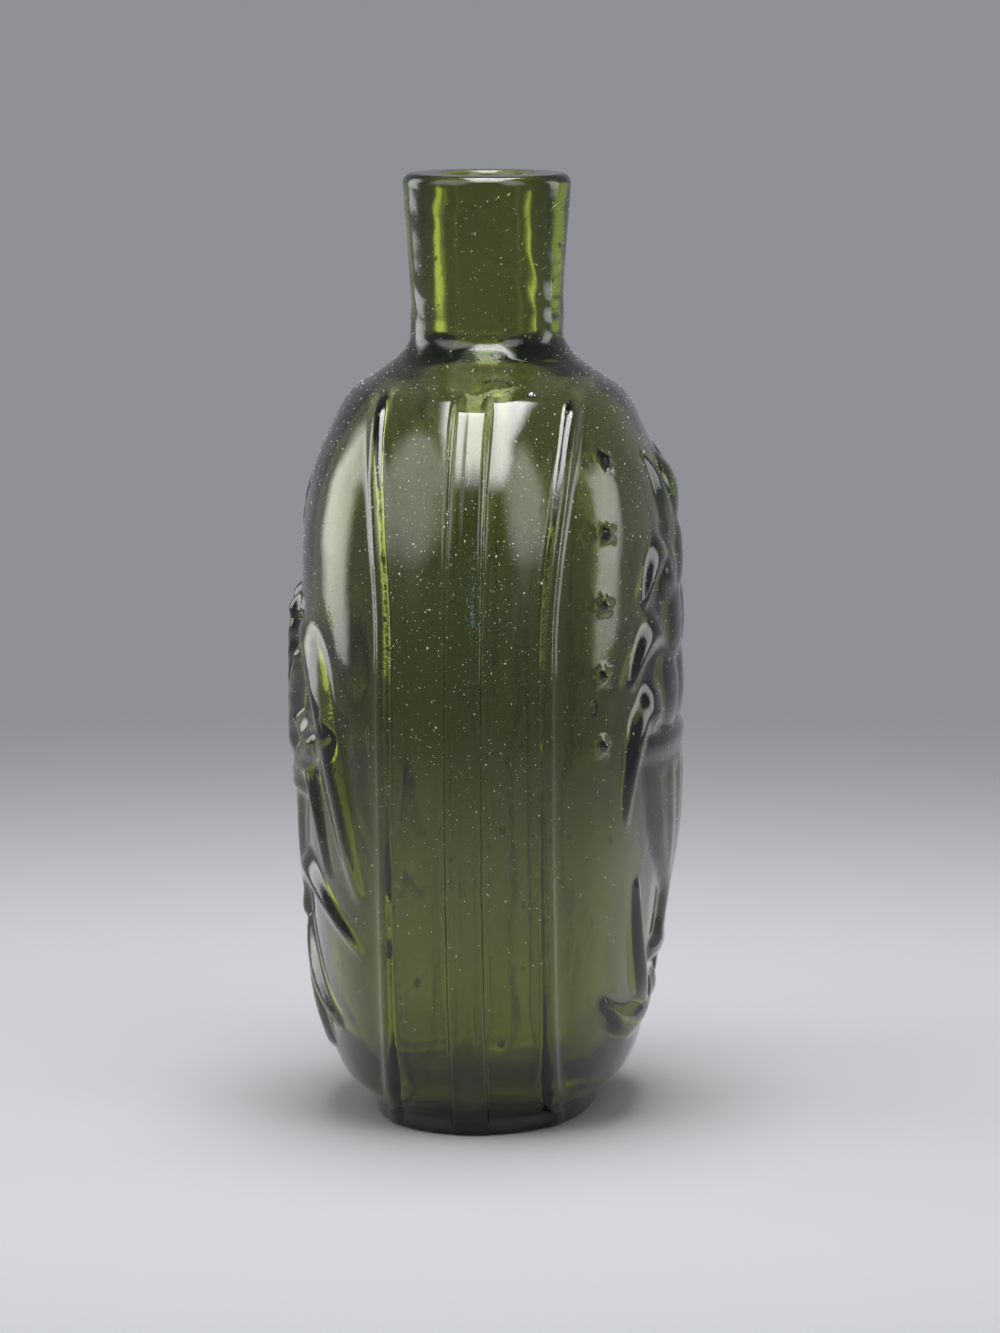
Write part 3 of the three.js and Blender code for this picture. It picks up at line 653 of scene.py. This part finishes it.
def inner_skin(raised, outer_z):
    """Rings of the inner skin, which faintly follow the ribs and the relief outside."""
    z = inner_rows()
    halves = inner_halves(z)
    x, y = ring_grid(z, halves, COARSER, halves[0] / outer_halves(z)[0])
    base = grid_points(x, y, z)
    normal = grid_normals(base)
    followed = soften(raised, 8)[:, ::COARSER]
    echo = np.stack([np.interp(z, outer_z, followed[:, i]) for i in range(followed.shape[1])], axis=1)
    up = base[..., 2]
    neck = smoothstep(up, RIB_TOP, NECK_BASE)
    calm = smoothstep(up, FLOOR_HEIGHT, 3 * FLOOR_HEIGHT) * (1 - neck)
    still = 1 - smoothstep(up, FLASK_HEIGHT - 2 * MOUTH_DEPTH, FLASK_HEIGHT)
    body_wave = calm * (ECHO_SHARE * echo + waviness(base, INNER_WAVES))
    neck_wave = waviness(base, NECK_WAVES) * neck
    return base + normal * (body_wave + neck_wave * still)[..., None], z


def inner_floor(rim_ring):
    """Rings from near the middle of the domed inner floor out towards its rim."""
    shares = np.linspace(0.04, 0.96, 14)[:, None]
    rings = np.repeat(rim_ring[None], len(shares), axis=0)
    rings[..., :2] *= shares[..., None]
    rings[..., 2] = lerp(FLOOR_HEIGHT, rim_ring[:, 2], smoothstep(shares, 0, 1))
    rings[..., 2] += waviness(rings, FLOOR_WAVES) * smoothstep(1 - shares, 0, 0.3)
    return rings


def underside(bottom_ring):
    """Rings from the middle of the hollow underside out to the foot's edge, in that order."""
    share = np.linspace(1, 0, 17)
    halves = [lerp(half - RESTING_RING_WIDTH, SCAR_SEAT_DIAMETER / 2, share) for half in FOOT_HALVES]
    x, y = ring_grid(np.zeros(len(share)), halves, 1, np.minimum(1, halves[0] / FOOT_HALVES[0]))
    rings = grid_points(x, y, KICK_HEIGHT * np.sin(share * math.pi / 2))
    edge = bottom_ring * np.array([1, 1, 0])
    return np.concatenate([rings, lerp(rings[-1:], edge, 0.5)])


def add_object(name, data):
    item = bpy.data.objects.new(name, data)
    bpy.context.scene.collection.objects.link(item)
    return item


class Skin:
    """Closed mesh put together from rows of rings."""

    def __init__(self):
        self.points = []
        self.faces = []
        self.count = 0

    def add(self, points):
        first = self.count
        self.points.append(points)
        self.count += len(points)
        return first + np.arange(len(points))

    def rows(self, grid, outward=True):
        """Adds rings, joins each to the next, and returns the point numbers of the first and last ring."""
        count = grid.shape[1]
        numbers = self.add(grid.reshape(-1, 3)).reshape(grid.shape[0], count)
        for low, high in zip(numbers[:-1], numbers[1:]):
            self.strip(low, high, outward)
        return numbers[0], numbers[-1]

    def strip(self, low, high, outward=True):
        a, b, c, d = low, np.roll(low, -1), np.roll(high, -1), high
        order = (a, b, c, d) if outward else (a, d, c, b)
        self.faces.extend(np.stack(order, axis=1).tolist())

    def fan(self, centre, ring):
        middle = self.add(np.array([centre]))[0]
        self.faces.extend([int(middle), int(a), int(b)] for a, b in zip(ring, np.roll(ring, -1)))

    def thin_out(self, fine, coarse):
        """Joins a ring to one with fewer points by a triangle for each fine side and each coarse one."""
        per = len(fine) // len(coarse)
        for i, (own, following) in enumerate(zip(coarse, np.roll(coarse, -1))):
            for k in range(per):
                a, b = fine[i * per + k], fine[(i * per + k + 1) % len(fine)]
                self.faces.append([int(a), int(b), int(own if k <= per // 2 else following)])
                if k == per // 2:
                    self.faces.append([int(b), int(following), int(own)])

    def solid(self, points, triangles):
        self.faces.extend(self.add(points)[triangles].tolist())

    def object(self, name, material):
        points = np.clip(np.concatenate(self.points), BOX_LOW, BOX_HIGH)
        mesh = bpy.data.meshes.new(name)
        mesh.from_pydata((points * MM).tolist(), [], self.faces)
        mesh.validate()
        mesh.polygons.foreach_set("use_smooth", np.ones(len(mesh.polygons), bool))
        mesh.materials.append(material)
        return add_object(name, mesh)


def ball_shape(splits):
    """Unit ball from an octahedron whose triangles are split into four, as points and triangles."""
    points = [side * axis for axis in np.eye(3) for side in (1, -1)]
    triangles = [(0, 2, 4), (2, 1, 4), (1, 3, 4), (3, 0, 4), (2, 0, 5), (1, 2, 5), (3, 1, 5), (0, 3, 5)]
    for _ in range(splits):
        middles = {}

        def middle(a, b):
            key = (min(a, b), max(a, b))
            if key not in middles:
                point = points[a] + points[b]
                points.append(point / np.linalg.norm(point))
                middles[key] = len(points) - 1
            return middles[key]

        split = []
        for a, b, c in triangles:
            ab, bc, ca = middle(a, b), middle(b, c), middle(c, a)
            split += [(a, ab, ca), (ab, b, bc), (ca, bc, c), (ab, bc, ca)]
        triangles = split
    return np.array(points), np.array(triangles)


# Bubbles seen in the near edge, in millimetres: x, z, radius, length over width, and lean in degrees
NEAR_BUBBLES = [
    (11, 133, 1, 1.2, 20), (-1.9, 99.2, 0.7, 1.5, 10), (-0.9, 100.3, 0.5, 1.2, -30),
    (-2.9, 98.2, 0.45, 1.3, 0), (16.8, 116.2, 0.65, 1.2, 0), (17.8, 114.8, 0.5, 1.6, 30),
    (16.2, 114.2, 0.45, 1.1, 0), (-17.1, 95.4, 0.75, 1.5, 8), (-17.4, 98.8, 0.6, 1.2, -10),
    (22.5, 78.5, 1.3, 1.5, 4), (7.2, 58, 0.75, 1.5, 0), (-9.3, 29.5, 0.8, 1.6, 12),
    (-6.5, 18, 0.65, 1.2, 15), (6.2, 18, 0.7, 1.2, -10), (-12, 69.8, 0.45, 2, 5),
    (3, 83.5, 0.45, 1.6, -8), (8, 105, 0.5, 1.4, 12), (-8.5, 111, 0.5, 1.5, -6),
    (11, 44.3, 0.45, 2.2, 4), (-3, 41.3, 0.4, 2.4, 3), (25, 54, 0.6, 1.5, 0),
    (-22, 107, 0.55, 1.4, 10), (-20, 65.8, 0.5, 1.8, 12), (19.5, 56, 0.5, 1.2, -5),
    (14.8, 27, 0.5, 1.3, 0),
]
NEAR_BUBBLE_DEPTH = 0.35

# Hollows scattered in the wall, with the same seed on every run
BUBBLES_IN_BODY = 420
BUBBLES_IN_NECK = 90
STREAKS_IN_NECK = 60
STREAK_RADIUS = 0.42

# Specks in the skin: pale seeds, and the streak of blue-green specks painted as a turquoise glint, with its
# lowest, densest and highest height
SEEDS_IN_BODY = 8000
SEEDS_IN_NECK = 1300
FINE_SEED_RADIUS = 0.075
SEED_DEPTH_SHARE = 0.45
GLINT_STREAK_SPECKS = 190
GLINT_STREAK_X = 1.9
GLINT_STREAK_HEIGHTS = (90, 97, 111)
SPECK_DEPTH_SHARE = 0.55

# Radii in millimetres: middle one, shift and spread of its logarithm, smallest and largest
BODY_BUBBLE_RADII = (0.3, 0, 0.35, 0.18, 0.65)
NECK_BUBBLE_RADII = (0.3, -0.2, 0.33, 0.14, 0.5)
SEED_RADII = (0.072, 0, 0.45, 0.04, 0.24)
SPECK_RADII = (0.13, 0, 0.45, 0.05, 0.3)


def any_radius(random, middle, shift, spread, smallest, largest):
    return float(np.clip(middle * random.lognormal(shift, spread), smallest, largest))


class Wall:
    """Places inside the glass wall, by column, height and depth, where depth 0 is the outer skin."""

    def __init__(self, outer, outer_z, inner, inner_z):
        self.skins = ((outer[:, ::COARSER], outer_z), (inner, inner_z))
        self.columns = inner.shape[1]

    def place(self, column, z, depth):
        whole = int(column)
        sides = []
        for grid, heights in self.skins:
            here, beside = grid[:, whole % self.columns], grid[:, (whole + 1) % self.columns]
            line = lerp(here, beside, column - whole)
            sides.append(np.array([np.interp(z, heights, line[:, k]) for k in range(3)]))
        return lerp(sides[0], sides[1], depth)

    def near_column(self, x, z):
        """Column on the near narrow side that is closest to a distance x from the middle."""
        grid, heights = self.skins[0]
        row = grid[int(np.searchsorted(heights, z))]
        return int(np.argmin(np.where(row[:, 1] < 0, np.abs(row[:, 0] - x), np.inf)))

    def ball(self, skin, shape, column, z, depth, radius, length, lean, sunk_share=None):
        """Adds an oval hollow that is drawn out along the wall and leans by some degrees.

        With a share given, it is solid, and its middle lies that share of its radius under the outer skin.
        """
        points, triangles = shape
        centre = self.place(column, z, depth)
        up = self.place(column, z + 1, depth) - centre
        up /= np.linalg.norm(up)
        beside = self.place(column + 1, z, depth) - centre
        beside -= up * (beside @ up)
        beside /= np.linalg.norm(beside)
        turn = math.radians(lean)
        along = up * math.cos(turn) + beside * math.sin(turn)
        across = beside * math.cos(turn) - up * math.sin(turn)
        wide = radius / math.sqrt(length)
        local = points * np.array([wide, wide, radius * math.sqrt(length)])
        axes = np.array([across, np.cross(along, across), along])
        if sunk_share is None:
            skin.solid(centre + local @ axes, triangles[:, ::-1])
            return
        inward = self.place(column, z, 1) - centre
        centre += inward / np.linalg.norm(inward) * wide * sunk_share
        skin.solid(centre + local @ axes, triangles)


def add_bubbles(skin, wall):
    """Hollows in the wall: scattered ones, more in the upper body, streaks in the neck, and those seen."""
    random = np.random.default_rng(8)
    small, round_shape = ball_shape(2), ball_shape(3)
    for _ in range(BUBBLES_IN_BODY):
        z = FOOT_HEIGHT + 5 + (RIB_TOP - FOOT_HEIGHT) * random.uniform(0, 1) ** 0.7
        radius = any_radius(random, *BODY_BUBBLE_RADII)
        column, depth = random.uniform(0, wall.columns), random.uniform(0.15, 0.75)
        wall.ball(skin, small, column, z, depth, radius, random.uniform(1, 1.9), random.normal(0, 14))
    for _ in range(BUBBLES_IN_NECK):
        z = random.uniform(RIB_TOP, FLASK_HEIGHT - 3)
        radius = any_radius(random, *NECK_BUBBLE_RADII)
        column, depth = random.uniform(0, wall.columns), random.uniform(0.08, 0.9)
        wall.ball(skin, small, column, z, depth, radius, random.uniform(1, 2.5), random.uniform(20, 60))
    for _ in range(STREAKS_IN_NECK):
        z = random.uniform(NECK_BASE, FLASK_HEIGHT - 5)
        column, depth = random.uniform(0, wall.columns), random.uniform(0.06, 0.4)
        radius = STREAK_RADIUS * random.uniform(0.6, 1.1)
        wall.ball(skin, small, column, z, depth, radius, random.uniform(7, 16), random.uniform(40, 68))
    for x, z, radius, length, lean in NEAR_BUBBLES:
        wall.ball(skin, round_shape, wall.near_column(x, z), z, NEAR_BUBBLE_DEPTH, radius, length, lean)


def make_seeds(wall):
    """Fine seeds caught in the skin, thickest in the upper body and across the neck."""
    random = np.random.default_rng(17)
    skin = Skin()
    fine, coarse = ball_shape(0), ball_shape(1)
    for i in range(SEEDS_IN_BODY + SEEDS_IN_NECK):
        if i < SEEDS_IN_BODY:
            z = lerp(FOOT_HEIGHT + 3, NECK_BASE - 2, random.beta(3.4, 1.6))
            lean, length = random.normal(0, 20), random.uniform(1, 1.7)
        else:
            z = random.uniform(NECK_BASE - 4, FLASK_HEIGHT - 4)
            lean, length = random.uniform(25, 65), random.uniform(1, 2.6)
        radius = any_radius(random, *SEED_RADII)
        column = random.uniform(0, wall.columns)
        shape = fine if radius < FINE_SEED_RADIUS else coarse
        wall.ball(skin, shape, column, z, 0, radius, length, lean, SEED_DEPTH_SHARE)
    return skin.object("glass_seeds", seed_material())


def make_glint_streak(wall):
    """Narrow streak of blue-green specks on the middle rib of the near edge, a painted turquoise glint of
    light in the glass.
    """
    random = np.random.default_rng(23)
    skin = Skin()
    shape = ball_shape(1)
    for _ in range(GLINT_STREAK_SPECKS):
        z = random.triangular(*GLINT_STREAK_HEIGHTS)
        column = wall.near_column(random.normal(GLINT_STREAK_X, 0.4), z) + random.uniform(-0.5, 0.5)
        radius = any_radius(random, *SPECK_RADII)
        length, lean = random.uniform(1, 3.5), random.normal(0, 10)
        wall.ball(skin, shape, column, z, 0, radius, length, lean, SPECK_DEPTH_SHARE)
    return skin.object("painted_turquoise_glint", glint_streak_material())


class Nodes:
    """Node tree of a material, lamp or world, with short ways to add nodes and fill their inputs."""

    def __init__(self, owner):
        owner.use_nodes = True
        self.tree = owner.node_tree

    def fill(self, node, inputs):
        """Links each input of a node, given by itself or by name, to an output, or sets it to a value."""
        if isinstance(node, str):
            node = self.tree.nodes[node]
        for socket, value in inputs.items():
            if isinstance(value, bpy.types.NodeSocket):
                self.tree.links.new(value, node.inputs[socket])
            else:
                node.inputs[socket].default_value = value
        return node

    def new(self, kind, inputs=None, **settings):
        node = self.tree.nodes.new("ShaderNode" + kind)
        for name, value in settings.items():
            setattr(node, name, value)
        return self.fill(node, inputs or {})

    def math(self, operation, *values):
        return self.new("Math", dict(enumerate(values)), operation=operation).outputs["Value"]

    def map_range(self, source, from_low, from_high, to_low=0, to_high=1, kind="LINEAR"):
        inputs = dict(enumerate((source, from_low, from_high, to_low, to_high)))
        return self.new("MapRange", inputs, interpolation_type=kind).outputs["Result"]

    def noise(self, scale, detail, stretch=(1, 1, 1)):
        """Noise on the object's own coordinates, with a scale per metre."""
        place = self.new("TexCoord").outputs["Object"]
        stretched = self.new("Mapping", {"Vector": place, "Scale": stretch}).outputs["Vector"]
        return self.new("TexNoise", {"Vector": stretched, "Scale": scale, "Detail": detail}).outputs["Fac"]

    def ramp(self, source, stops):
        """Colour from a value, through stops of a place and a colour."""
        node = self.new("ValToRGB", {"Fac": source})
        elements = node.color_ramp.elements
        while len(elements) < len(stops):
            elements.new(0.5)
        for element, (place, color) in zip(elements, stops):
            element.position = place
            element.color = (*color, 1)
        return node.outputs["Color"]

    def bump(self, height, strength, distance):
        inputs = {"Height": height, "Strength": strength, "Distance": distance}
        return self.new("Bump", inputs).outputs["Normal"]


SURFACE = "Principled BSDF"
GLASS_IOR = 1.5


def new_material(name):
    material = bpy.data.materials.new(name)
    return material, Nodes(material)


def seed_material():
    """Pale tones painted on the seeds as the glint that tiny air bubbles catch from the lamps, with a faint
    change of tone from seed to seed.
    """
    material, nodes = new_material("seed_painted_glint")
    # Pale seed tones are a painted glint of light caught by bubbles
    tones = nodes.ramp(nodes.noise(900, 2), [
        (0.35, (0.42, 0.47, 0.3)),
        (0.65, (0.82, 0.86, 0.78)),
    ])
    nodes.fill(SURFACE, {"Base Color": tones, "Roughness": 0.3})
    return material


def glint_streak_material():
    """Dull blue-green specks that paint a turquoise glint, paler and rougher in patches."""
    material, nodes = new_material("painted_turquoise_glint_specks")
    patches = nodes.noise(1300, 3)
    # Blue-green tones painted as a turquoise glint of light in the glass
    tones = nodes.ramp(patches, [
        (0.35, (0.05, 0.11, 0.09)),
        (0.7, (0.2, 0.3, 0.26)),
    ])
    nodes.fill(SURFACE, {"Base Color": tones, "Roughness": nodes.map_range(patches, 0.3, 0.7, 0.5, 0.8)})
    return material


# Base colour of the glass by share of the height, paler and greyer above as painted reflection and darker
# and yellower below as painted shade of the thick glass, and its surface
GLASS_TINTS_WITH_PAINTED_LIGHT = [
    (0.0, (0.45, 0.48, 0.015)), (0.3, (0.42, 0.46, 0.05)), (0.5, (0.49, 0.52, 0.22)),
    (0.75, (0.69, 0.71, 0.52)), (0.82, (0.79, 0.78, 0.46)), (1.0, (0.83, 0.81, 0.42)),
]
GLASS_ABSORPTION = (0.6, 0.66, 0.26)
GLASS_DENSITY = 260
TINT_SWAY = 0.012
CLEAR_ROUGHNESS = 0.02
SMUDGED_ROUGHNESS = 0.085
PIT_SHARE = 0.2
PEEL_DEPTH = 0.00008

# The neck is hazier than the body: roughness, and shares of the height where that starts and is full
NECK_HAZE = 0.09
HAZE_FADE = (0.79, 0.86)


def glass_material():
    """Olive glass, paler and greyer above as painted reflection and darker and yellower below as painted
    shade of the thick glass, with faint streaks, smudges and fine orange peel.
    """
    material, nodes = new_material("olive_glass_skin")
    place = nodes.new("TexCoord").outputs["Object"]
    up = nodes.new("SeparateXYZ", {"Vector": place}).outputs["Z"]
    sway = nodes.map_range(nodes.noise(60, 3, (1, 1, 0.25)), 0.3, 0.7, -TINT_SWAY, TINT_SWAY)
    share = nodes.map_range(nodes.math("ADD", up, sway), 0, FLASK_HEIGHT * MM)
    smudges = nodes.map_range(nodes.noise(45, 4), 0.42, 0.72, CLEAR_ROUGHNESS, SMUDGED_ROUGHNESS)
    haze = nodes.map_range(share, *HAZE_FADE, 0, NECK_HAZE)
    peel = nodes.math("MULTIPLY_ADD", nodes.noise(1900, 2), PIT_SHARE, nodes.noise(420, 3, (1, 1, 0.5)))
    # The base colour ramp paints reflection on the upper body and the shade of thick glass near the foot
    nodes.fill(SURFACE, {
        "Base Color": nodes.ramp(share, GLASS_TINTS_WITH_PAINTED_LIGHT),
        "Roughness": nodes.math("ADD", smudges, haze),
        "Normal": nodes.bump(peel, 0.35, PEEL_DEPTH),
        "Transmission Weight": 1,
        "IOR": GLASS_IOR,
        "Coat Weight": 0.28,
        "Coat IOR": 1.8,
        "Coat Roughness": 0.08,
    })
    absorb = nodes.new("VolumeAbsorption", {"Color": (*GLASS_ABSORPTION, 1), "Density": GLASS_DENSITY})
    nodes.fill("Material Output", {"Volume": absorb.outputs["Volume"]})
    return material


def make_flask():
    outer, raised, outer_z = outer_skin()
    inner, inner_z = inner_skin(raised, outer_z)
    skin = Skin()
    under_first, under_last = skin.rows(underside(outer[0]))
    skin.fan([0, 0, KICK_HEIGHT], under_first[::-1])
    outer_first, outer_last = skin.rows(outer)
    skin.strip(under_last, outer_first)
    inner_first, inner_last = skin.rows(inner, False)
    skin.thin_out(outer_last, inner_last)
    floor_first, floor_last = skin.rows(inner_floor(inner[0]), False)
    skin.strip(floor_last, inner_first, False)
    skin.fan([0, 0, FLOOR_HEIGHT], floor_first)
    wall = Wall(outer, outer_z, inner, inner_z)
    add_bubbles(skin, wall)
    return skin.object("flask_glass", glass_material()), make_seeds(wall), make_glint_streak(wall)


# Scar of the rod: shares of its radius and depth, from its seat in the underside down to its middle
SCAR_DIAMETER = 16.5
SCAR_DEPTH = 1.9
SCAR_GAP = 0.04
SCAR_SHARES = np.array([
    [1, 0], [1.05, 0.35], [0.93, 0.8], [0.66, 1], [0.42, 0.6], [0.03, 0.6],
])


def scar_material():
    """Broken glass: rough and paler than the skin, with frosted and clear patches."""
    material, nodes = new_material("broken_glass")
    patches = nodes.noise(420, 4)
    nodes.fill(SURFACE, {
        "Base Color": nodes.ramp(patches, [
            (0.3, (0.4, 0.5, 0.16)),
            (0.7, (0.72, 0.8, 0.5)),
        ]),
        "Roughness": nodes.map_range(patches, 0.35, 0.7, 0.12, 0.5),
        "Normal": nodes.bump(nodes.noise(2600, 4), 0.5, 0.0001),
        "Transmission Weight": 0.6,
        "IOR": GLASS_IOR,
    })
    return material


def make_scar():
    """Snapped-off disc of glass with a wavering rim, ripples from where it broke, and small chips."""
    segments, steps = 160, 44
    angle = np.linspace(0, 2 * math.pi, segments, endpoint=False)
    wander = 1 + 0.07 * np.sin(3 * angle + 1) + 0.04 * np.sin(7 * angle)
    rough = 1 + 0.14 * np.sin(5 * angle + 2)
    row = np.linspace(0, len(SCAR_SHARES) - 1, steps)
    rows = np.arange(len(SCAR_SHARES))
    radius_share, depth_share = (np.interp(row, rows, SCAR_SHARES[:, i]) for i in (0, 1))
    radius = SCAR_DIAMETER / 2 * radius_share[:, None] * wander
    drop = SCAR_DEPTH * depth_share[:, None] * rough
    height = KICK_HEIGHT - SCAR_GAP - drop
    rings = np.stack([radius * np.cos(angle), radius * np.sin(angle), height], axis=-1)
    broken_from = np.array([SCAR_DIAMETER / 2, -SCAR_DIAMETER / 5])
    spread = np.linalg.norm(rings[..., :2] - broken_from, axis=-1)
    ripple_height, ripple_length, chip_depth = 0.05, 1.3, 0.14
    ripples = ripple_height * np.sin(2 * math.pi * spread / ripple_length + ripple(rings, 5, 31))
    ripples = ripples + chip_depth * ripple(rings, 3, 32)
    below = smoothstep(depth_share, 0.2, 0.9)[:, None]
    rings[..., 2] += below * ripples
    rings[..., :2] *= 1 + 0.02 * ripple(rings, 2.5, 33)[..., None] * below[..., None]
    low, high = (np.array(corner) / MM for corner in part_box("pontil_scar"))
    rings = np.clip(rings, low, high)
    skin = Skin()
    first, last = skin.rows(rings[::-1])
    skin.fan(rings[-1].mean(axis=0), first[::-1])
    skin.fan(rings[0].mean(axis=0), last)
    return skin.object("broken_scar", scar_material())


flask, seeds, glint_streak = make_flask()
scar = make_scar()
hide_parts("flask_vessel")
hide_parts("pontil_scar")
SLOTS = ((flask, "olive_glass"), (seeds, "olive_glass"), (glint_streak, "olive_glass"), (scar, "scar_glass"))
for piece, slot in SLOTS:
    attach(piece, "root")


# Studio, in metres
FLOOR_RADIUS = 30.0
FLOOR_GAP = 0.00005
FLOOR_COLOR = (0.45, 0.46, 0.475)
BACKDROP_COLOR = (0.27, 0.28, 0.3)
BACKDROP_FADE = (0.13, 0.6)
AMBIENT_STRENGTH = 0.6
CEILING_SHARE = 0.5
SIDE_LIGHT_DISTANCE = 1.2
OVERHEAD_FADES = ((0.2, 0.2), (0.5, 0.08))
FRONT_FADES = ((0.3, 0.3), (0.5, 0.15))
BACK_FADES = ((0.3, 0.3), (0.3, 0.3))

# Side softboxes: name, azimuth from the camera's side to its right, elevation, size, radiance, fades
SIDE_LIGHTS = [
    ("left_front_panel", -57, 40, (1.4, 1.7), 1.7, FRONT_FADES),
    ("right_front_panel", 45, 40, (0.8, 1.7), 2.0, FRONT_FADES),
    ("left_back_panel", -118, 14, (0.75, 1.2), 2.4, BACK_FADES),
    ("right_back_panel", 110, 14, (0.55, 1.1), 2.2, BACK_FADES),
]

# Overhead softbox: name, place, what it faces, size, radiance, fades
OVERHEAD_LIGHT = (
    "overhead_softbox", (0.02, -0.18, 1.15), (0.02, -0.16, 0), (0.64, 1.56), 7.8, OVERHEAD_FADES,
)


def seen_directly(nodes):
    """1 for what the camera sees, also by reflection or through glass, and 0 for what only lights."""
    path = nodes.new("LightPath").outputs
    either = nodes.math("ADD", path["Is Camera Ray"], path["Is Glossy Ray"])
    return nodes.new("Math", {0: either, 1: path["Is Transmission Ray"]}, use_clamp=True).outputs["Value"]


def make_floor():
    """Round pale floor that blends into the backdrop away from the flask, and keeps its shadow near it."""
    sides = 64
    turns = np.linspace(0, 2 * math.pi, sides, endpoint=False)
    points = [(FLOOR_RADIUS * math.cos(turn), FLOOR_RADIUS * math.sin(turn), -FLOOR_GAP) for turn in turns]
    mesh = bpy.data.meshes.new("studio_floor")
    mesh.from_pydata(points, [], [tuple(range(sides))])
    material, nodes = new_material("studio_paper")
    paper = nodes.fill(SURFACE, {"Base Color": (*FLOOR_COLOR, 1), "Roughness": 0.9})
    glow = nodes.new("Emission", {"Color": (*BACKDROP_COLOR, 1)})
    place = nodes.new("NewGeometry").outputs["Position"]
    distance = nodes.new("VectorMath", {0: place}, operation="LENGTH").outputs["Value"]
    away = nodes.map_range(distance, *BACKDROP_FADE, kind="SMOOTHSTEP")
    blend = nodes.new("MixShader", {
        0: nodes.math("MULTIPLY", away, seen_directly(nodes)),
        1: paper.outputs["BSDF"],
        2: glow.outputs["Emission"],
    })
    nodes.fill("Material Output", {"Surface": blend.outputs["Shader"]})
    mesh.materials.append(material)
    floor = add_object("studio_floor", mesh)


# Camera, from the ellipses of the lip and the foot in the photograph, in millimetres and degrees
CAMERA_DISTANCE = 1350.0
CAMERA_HEIGHT = 245.0
CAMERA_AZIMUTH = 4.6
CAMERA_PITCH = 6.932
VIEW_OFFSET = 2.4
LENS = 198.9


def make_camera():
    azimuth = math.radians(CAMERA_AZIMUTH)
    back = Vector((math.sin(azimuth), -math.cos(azimuth), 0))
    right = Vector((math.cos(azimuth), math.sin(azimuth), 0))
    place = back * CAMERA_DISTANCE + Vector((0, 0, CAMERA_HEIGHT))
    aim_height = CAMERA_HEIGHT - CAMERA_DISTANCE * math.tan(math.radians(CAMERA_PITCH))
    aim = right * VIEW_OFFSET + Vector((0, 0, aim_height))
    data = bpy.data.cameras.new("camera")
    data.lens = LENS
    data.sensor_fit = "VERTICAL"
    data.sensor_height = 36
    data.clip_start = 0.05
    data.clip_end = 20
    camera = add_object("camera", data)
    camera.location = place * MM
    camera.rotation_euler = (aim - place).to_track_quat("-Z", "Y").to_euler()
    bpy.context.scene.camera = camera


def soft_light(name, place, aim, size, radiance, fades):
    """Rectangular softbox that fades over a share of its size at the start and the end of each axis."""
    data = bpy.data.lights.new(name, "AREA")
    data.shape = "RECTANGLE"
    data.size, data.size_y = size
    data.energy = radiance * math.pi * size[0] * size[1]
    nodes = Nodes(data)
    axes = nodes.new("SeparateXYZ", {"Vector": nodes.new("NewGeometry").outputs["Parametric"]})
    strength = 1
    for axis, (start, end) in zip("XY", fades):
        for low, high in ((0, start), (1, 1 - end)):
            fade = nodes.map_range(axes.outputs[axis], low, high, kind="SMOOTHSTEP")
            strength = nodes.math("MULTIPLY", strength, fade)
    nodes.fill("Emission", {"Strength": strength})
    light = add_object(name, data)
    light.location = place
    light.rotation_euler = (Vector(aim) - Vector(place)).to_track_quat("-Z", "Y").to_euler()


def side_light(name, azimuth, elevation, size, radiance, fades):
    """Softbox that faces the flask, at an azimuth counted from the camera's narrow side to its right."""
    turn, rise = math.radians(azimuth), math.radians(elevation)
    middle = Vector((0, 0, FLASK_HEIGHT / 2 * MM))
    outward = Vector((math.cos(rise) * math.sin(turn), -math.cos(rise) * math.cos(turn), math.sin(rise)))
    soft_light(name, middle + outward * SIDE_LIGHT_DISTANCE, middle, size, radiance, fades)


def make_stage():
    world = bpy.data.worlds.new("studio")
    nodes = Nodes(world)
    direction = nodes.new("TexCoord").outputs["Generated"]
    up = nodes.new("SeparateXYZ", {"Vector": direction}).outputs["Z"]
    overhead = nodes.map_range(up, 0.1, 0.7, 1, CEILING_SHARE)
    ambient = nodes.map_range(seen_directly(nodes), 0, 1, AMBIENT_STRENGTH, 1)
    strength = nodes.math("MULTIPLY", overhead, ambient)
    nodes.fill("Background", {"Color": (*BACKDROP_COLOR, 1), "Strength": strength})
    bpy.context.scene.world = world
    make_floor()
    soft_light(*OVERHEAD_LIGHT)
    for row in SIDE_LIGHTS:
        side_light(*row)


make_camera()
make_stage()

scene = bpy.context.scene
scene.view_settings.view_transform = "Standard"
scene.cycles.max_bounces = 24
scene.cycles.transmission_bounces = 20
scene.cycles.glossy_bounces = 8
scene.cycles.use_denoising = True
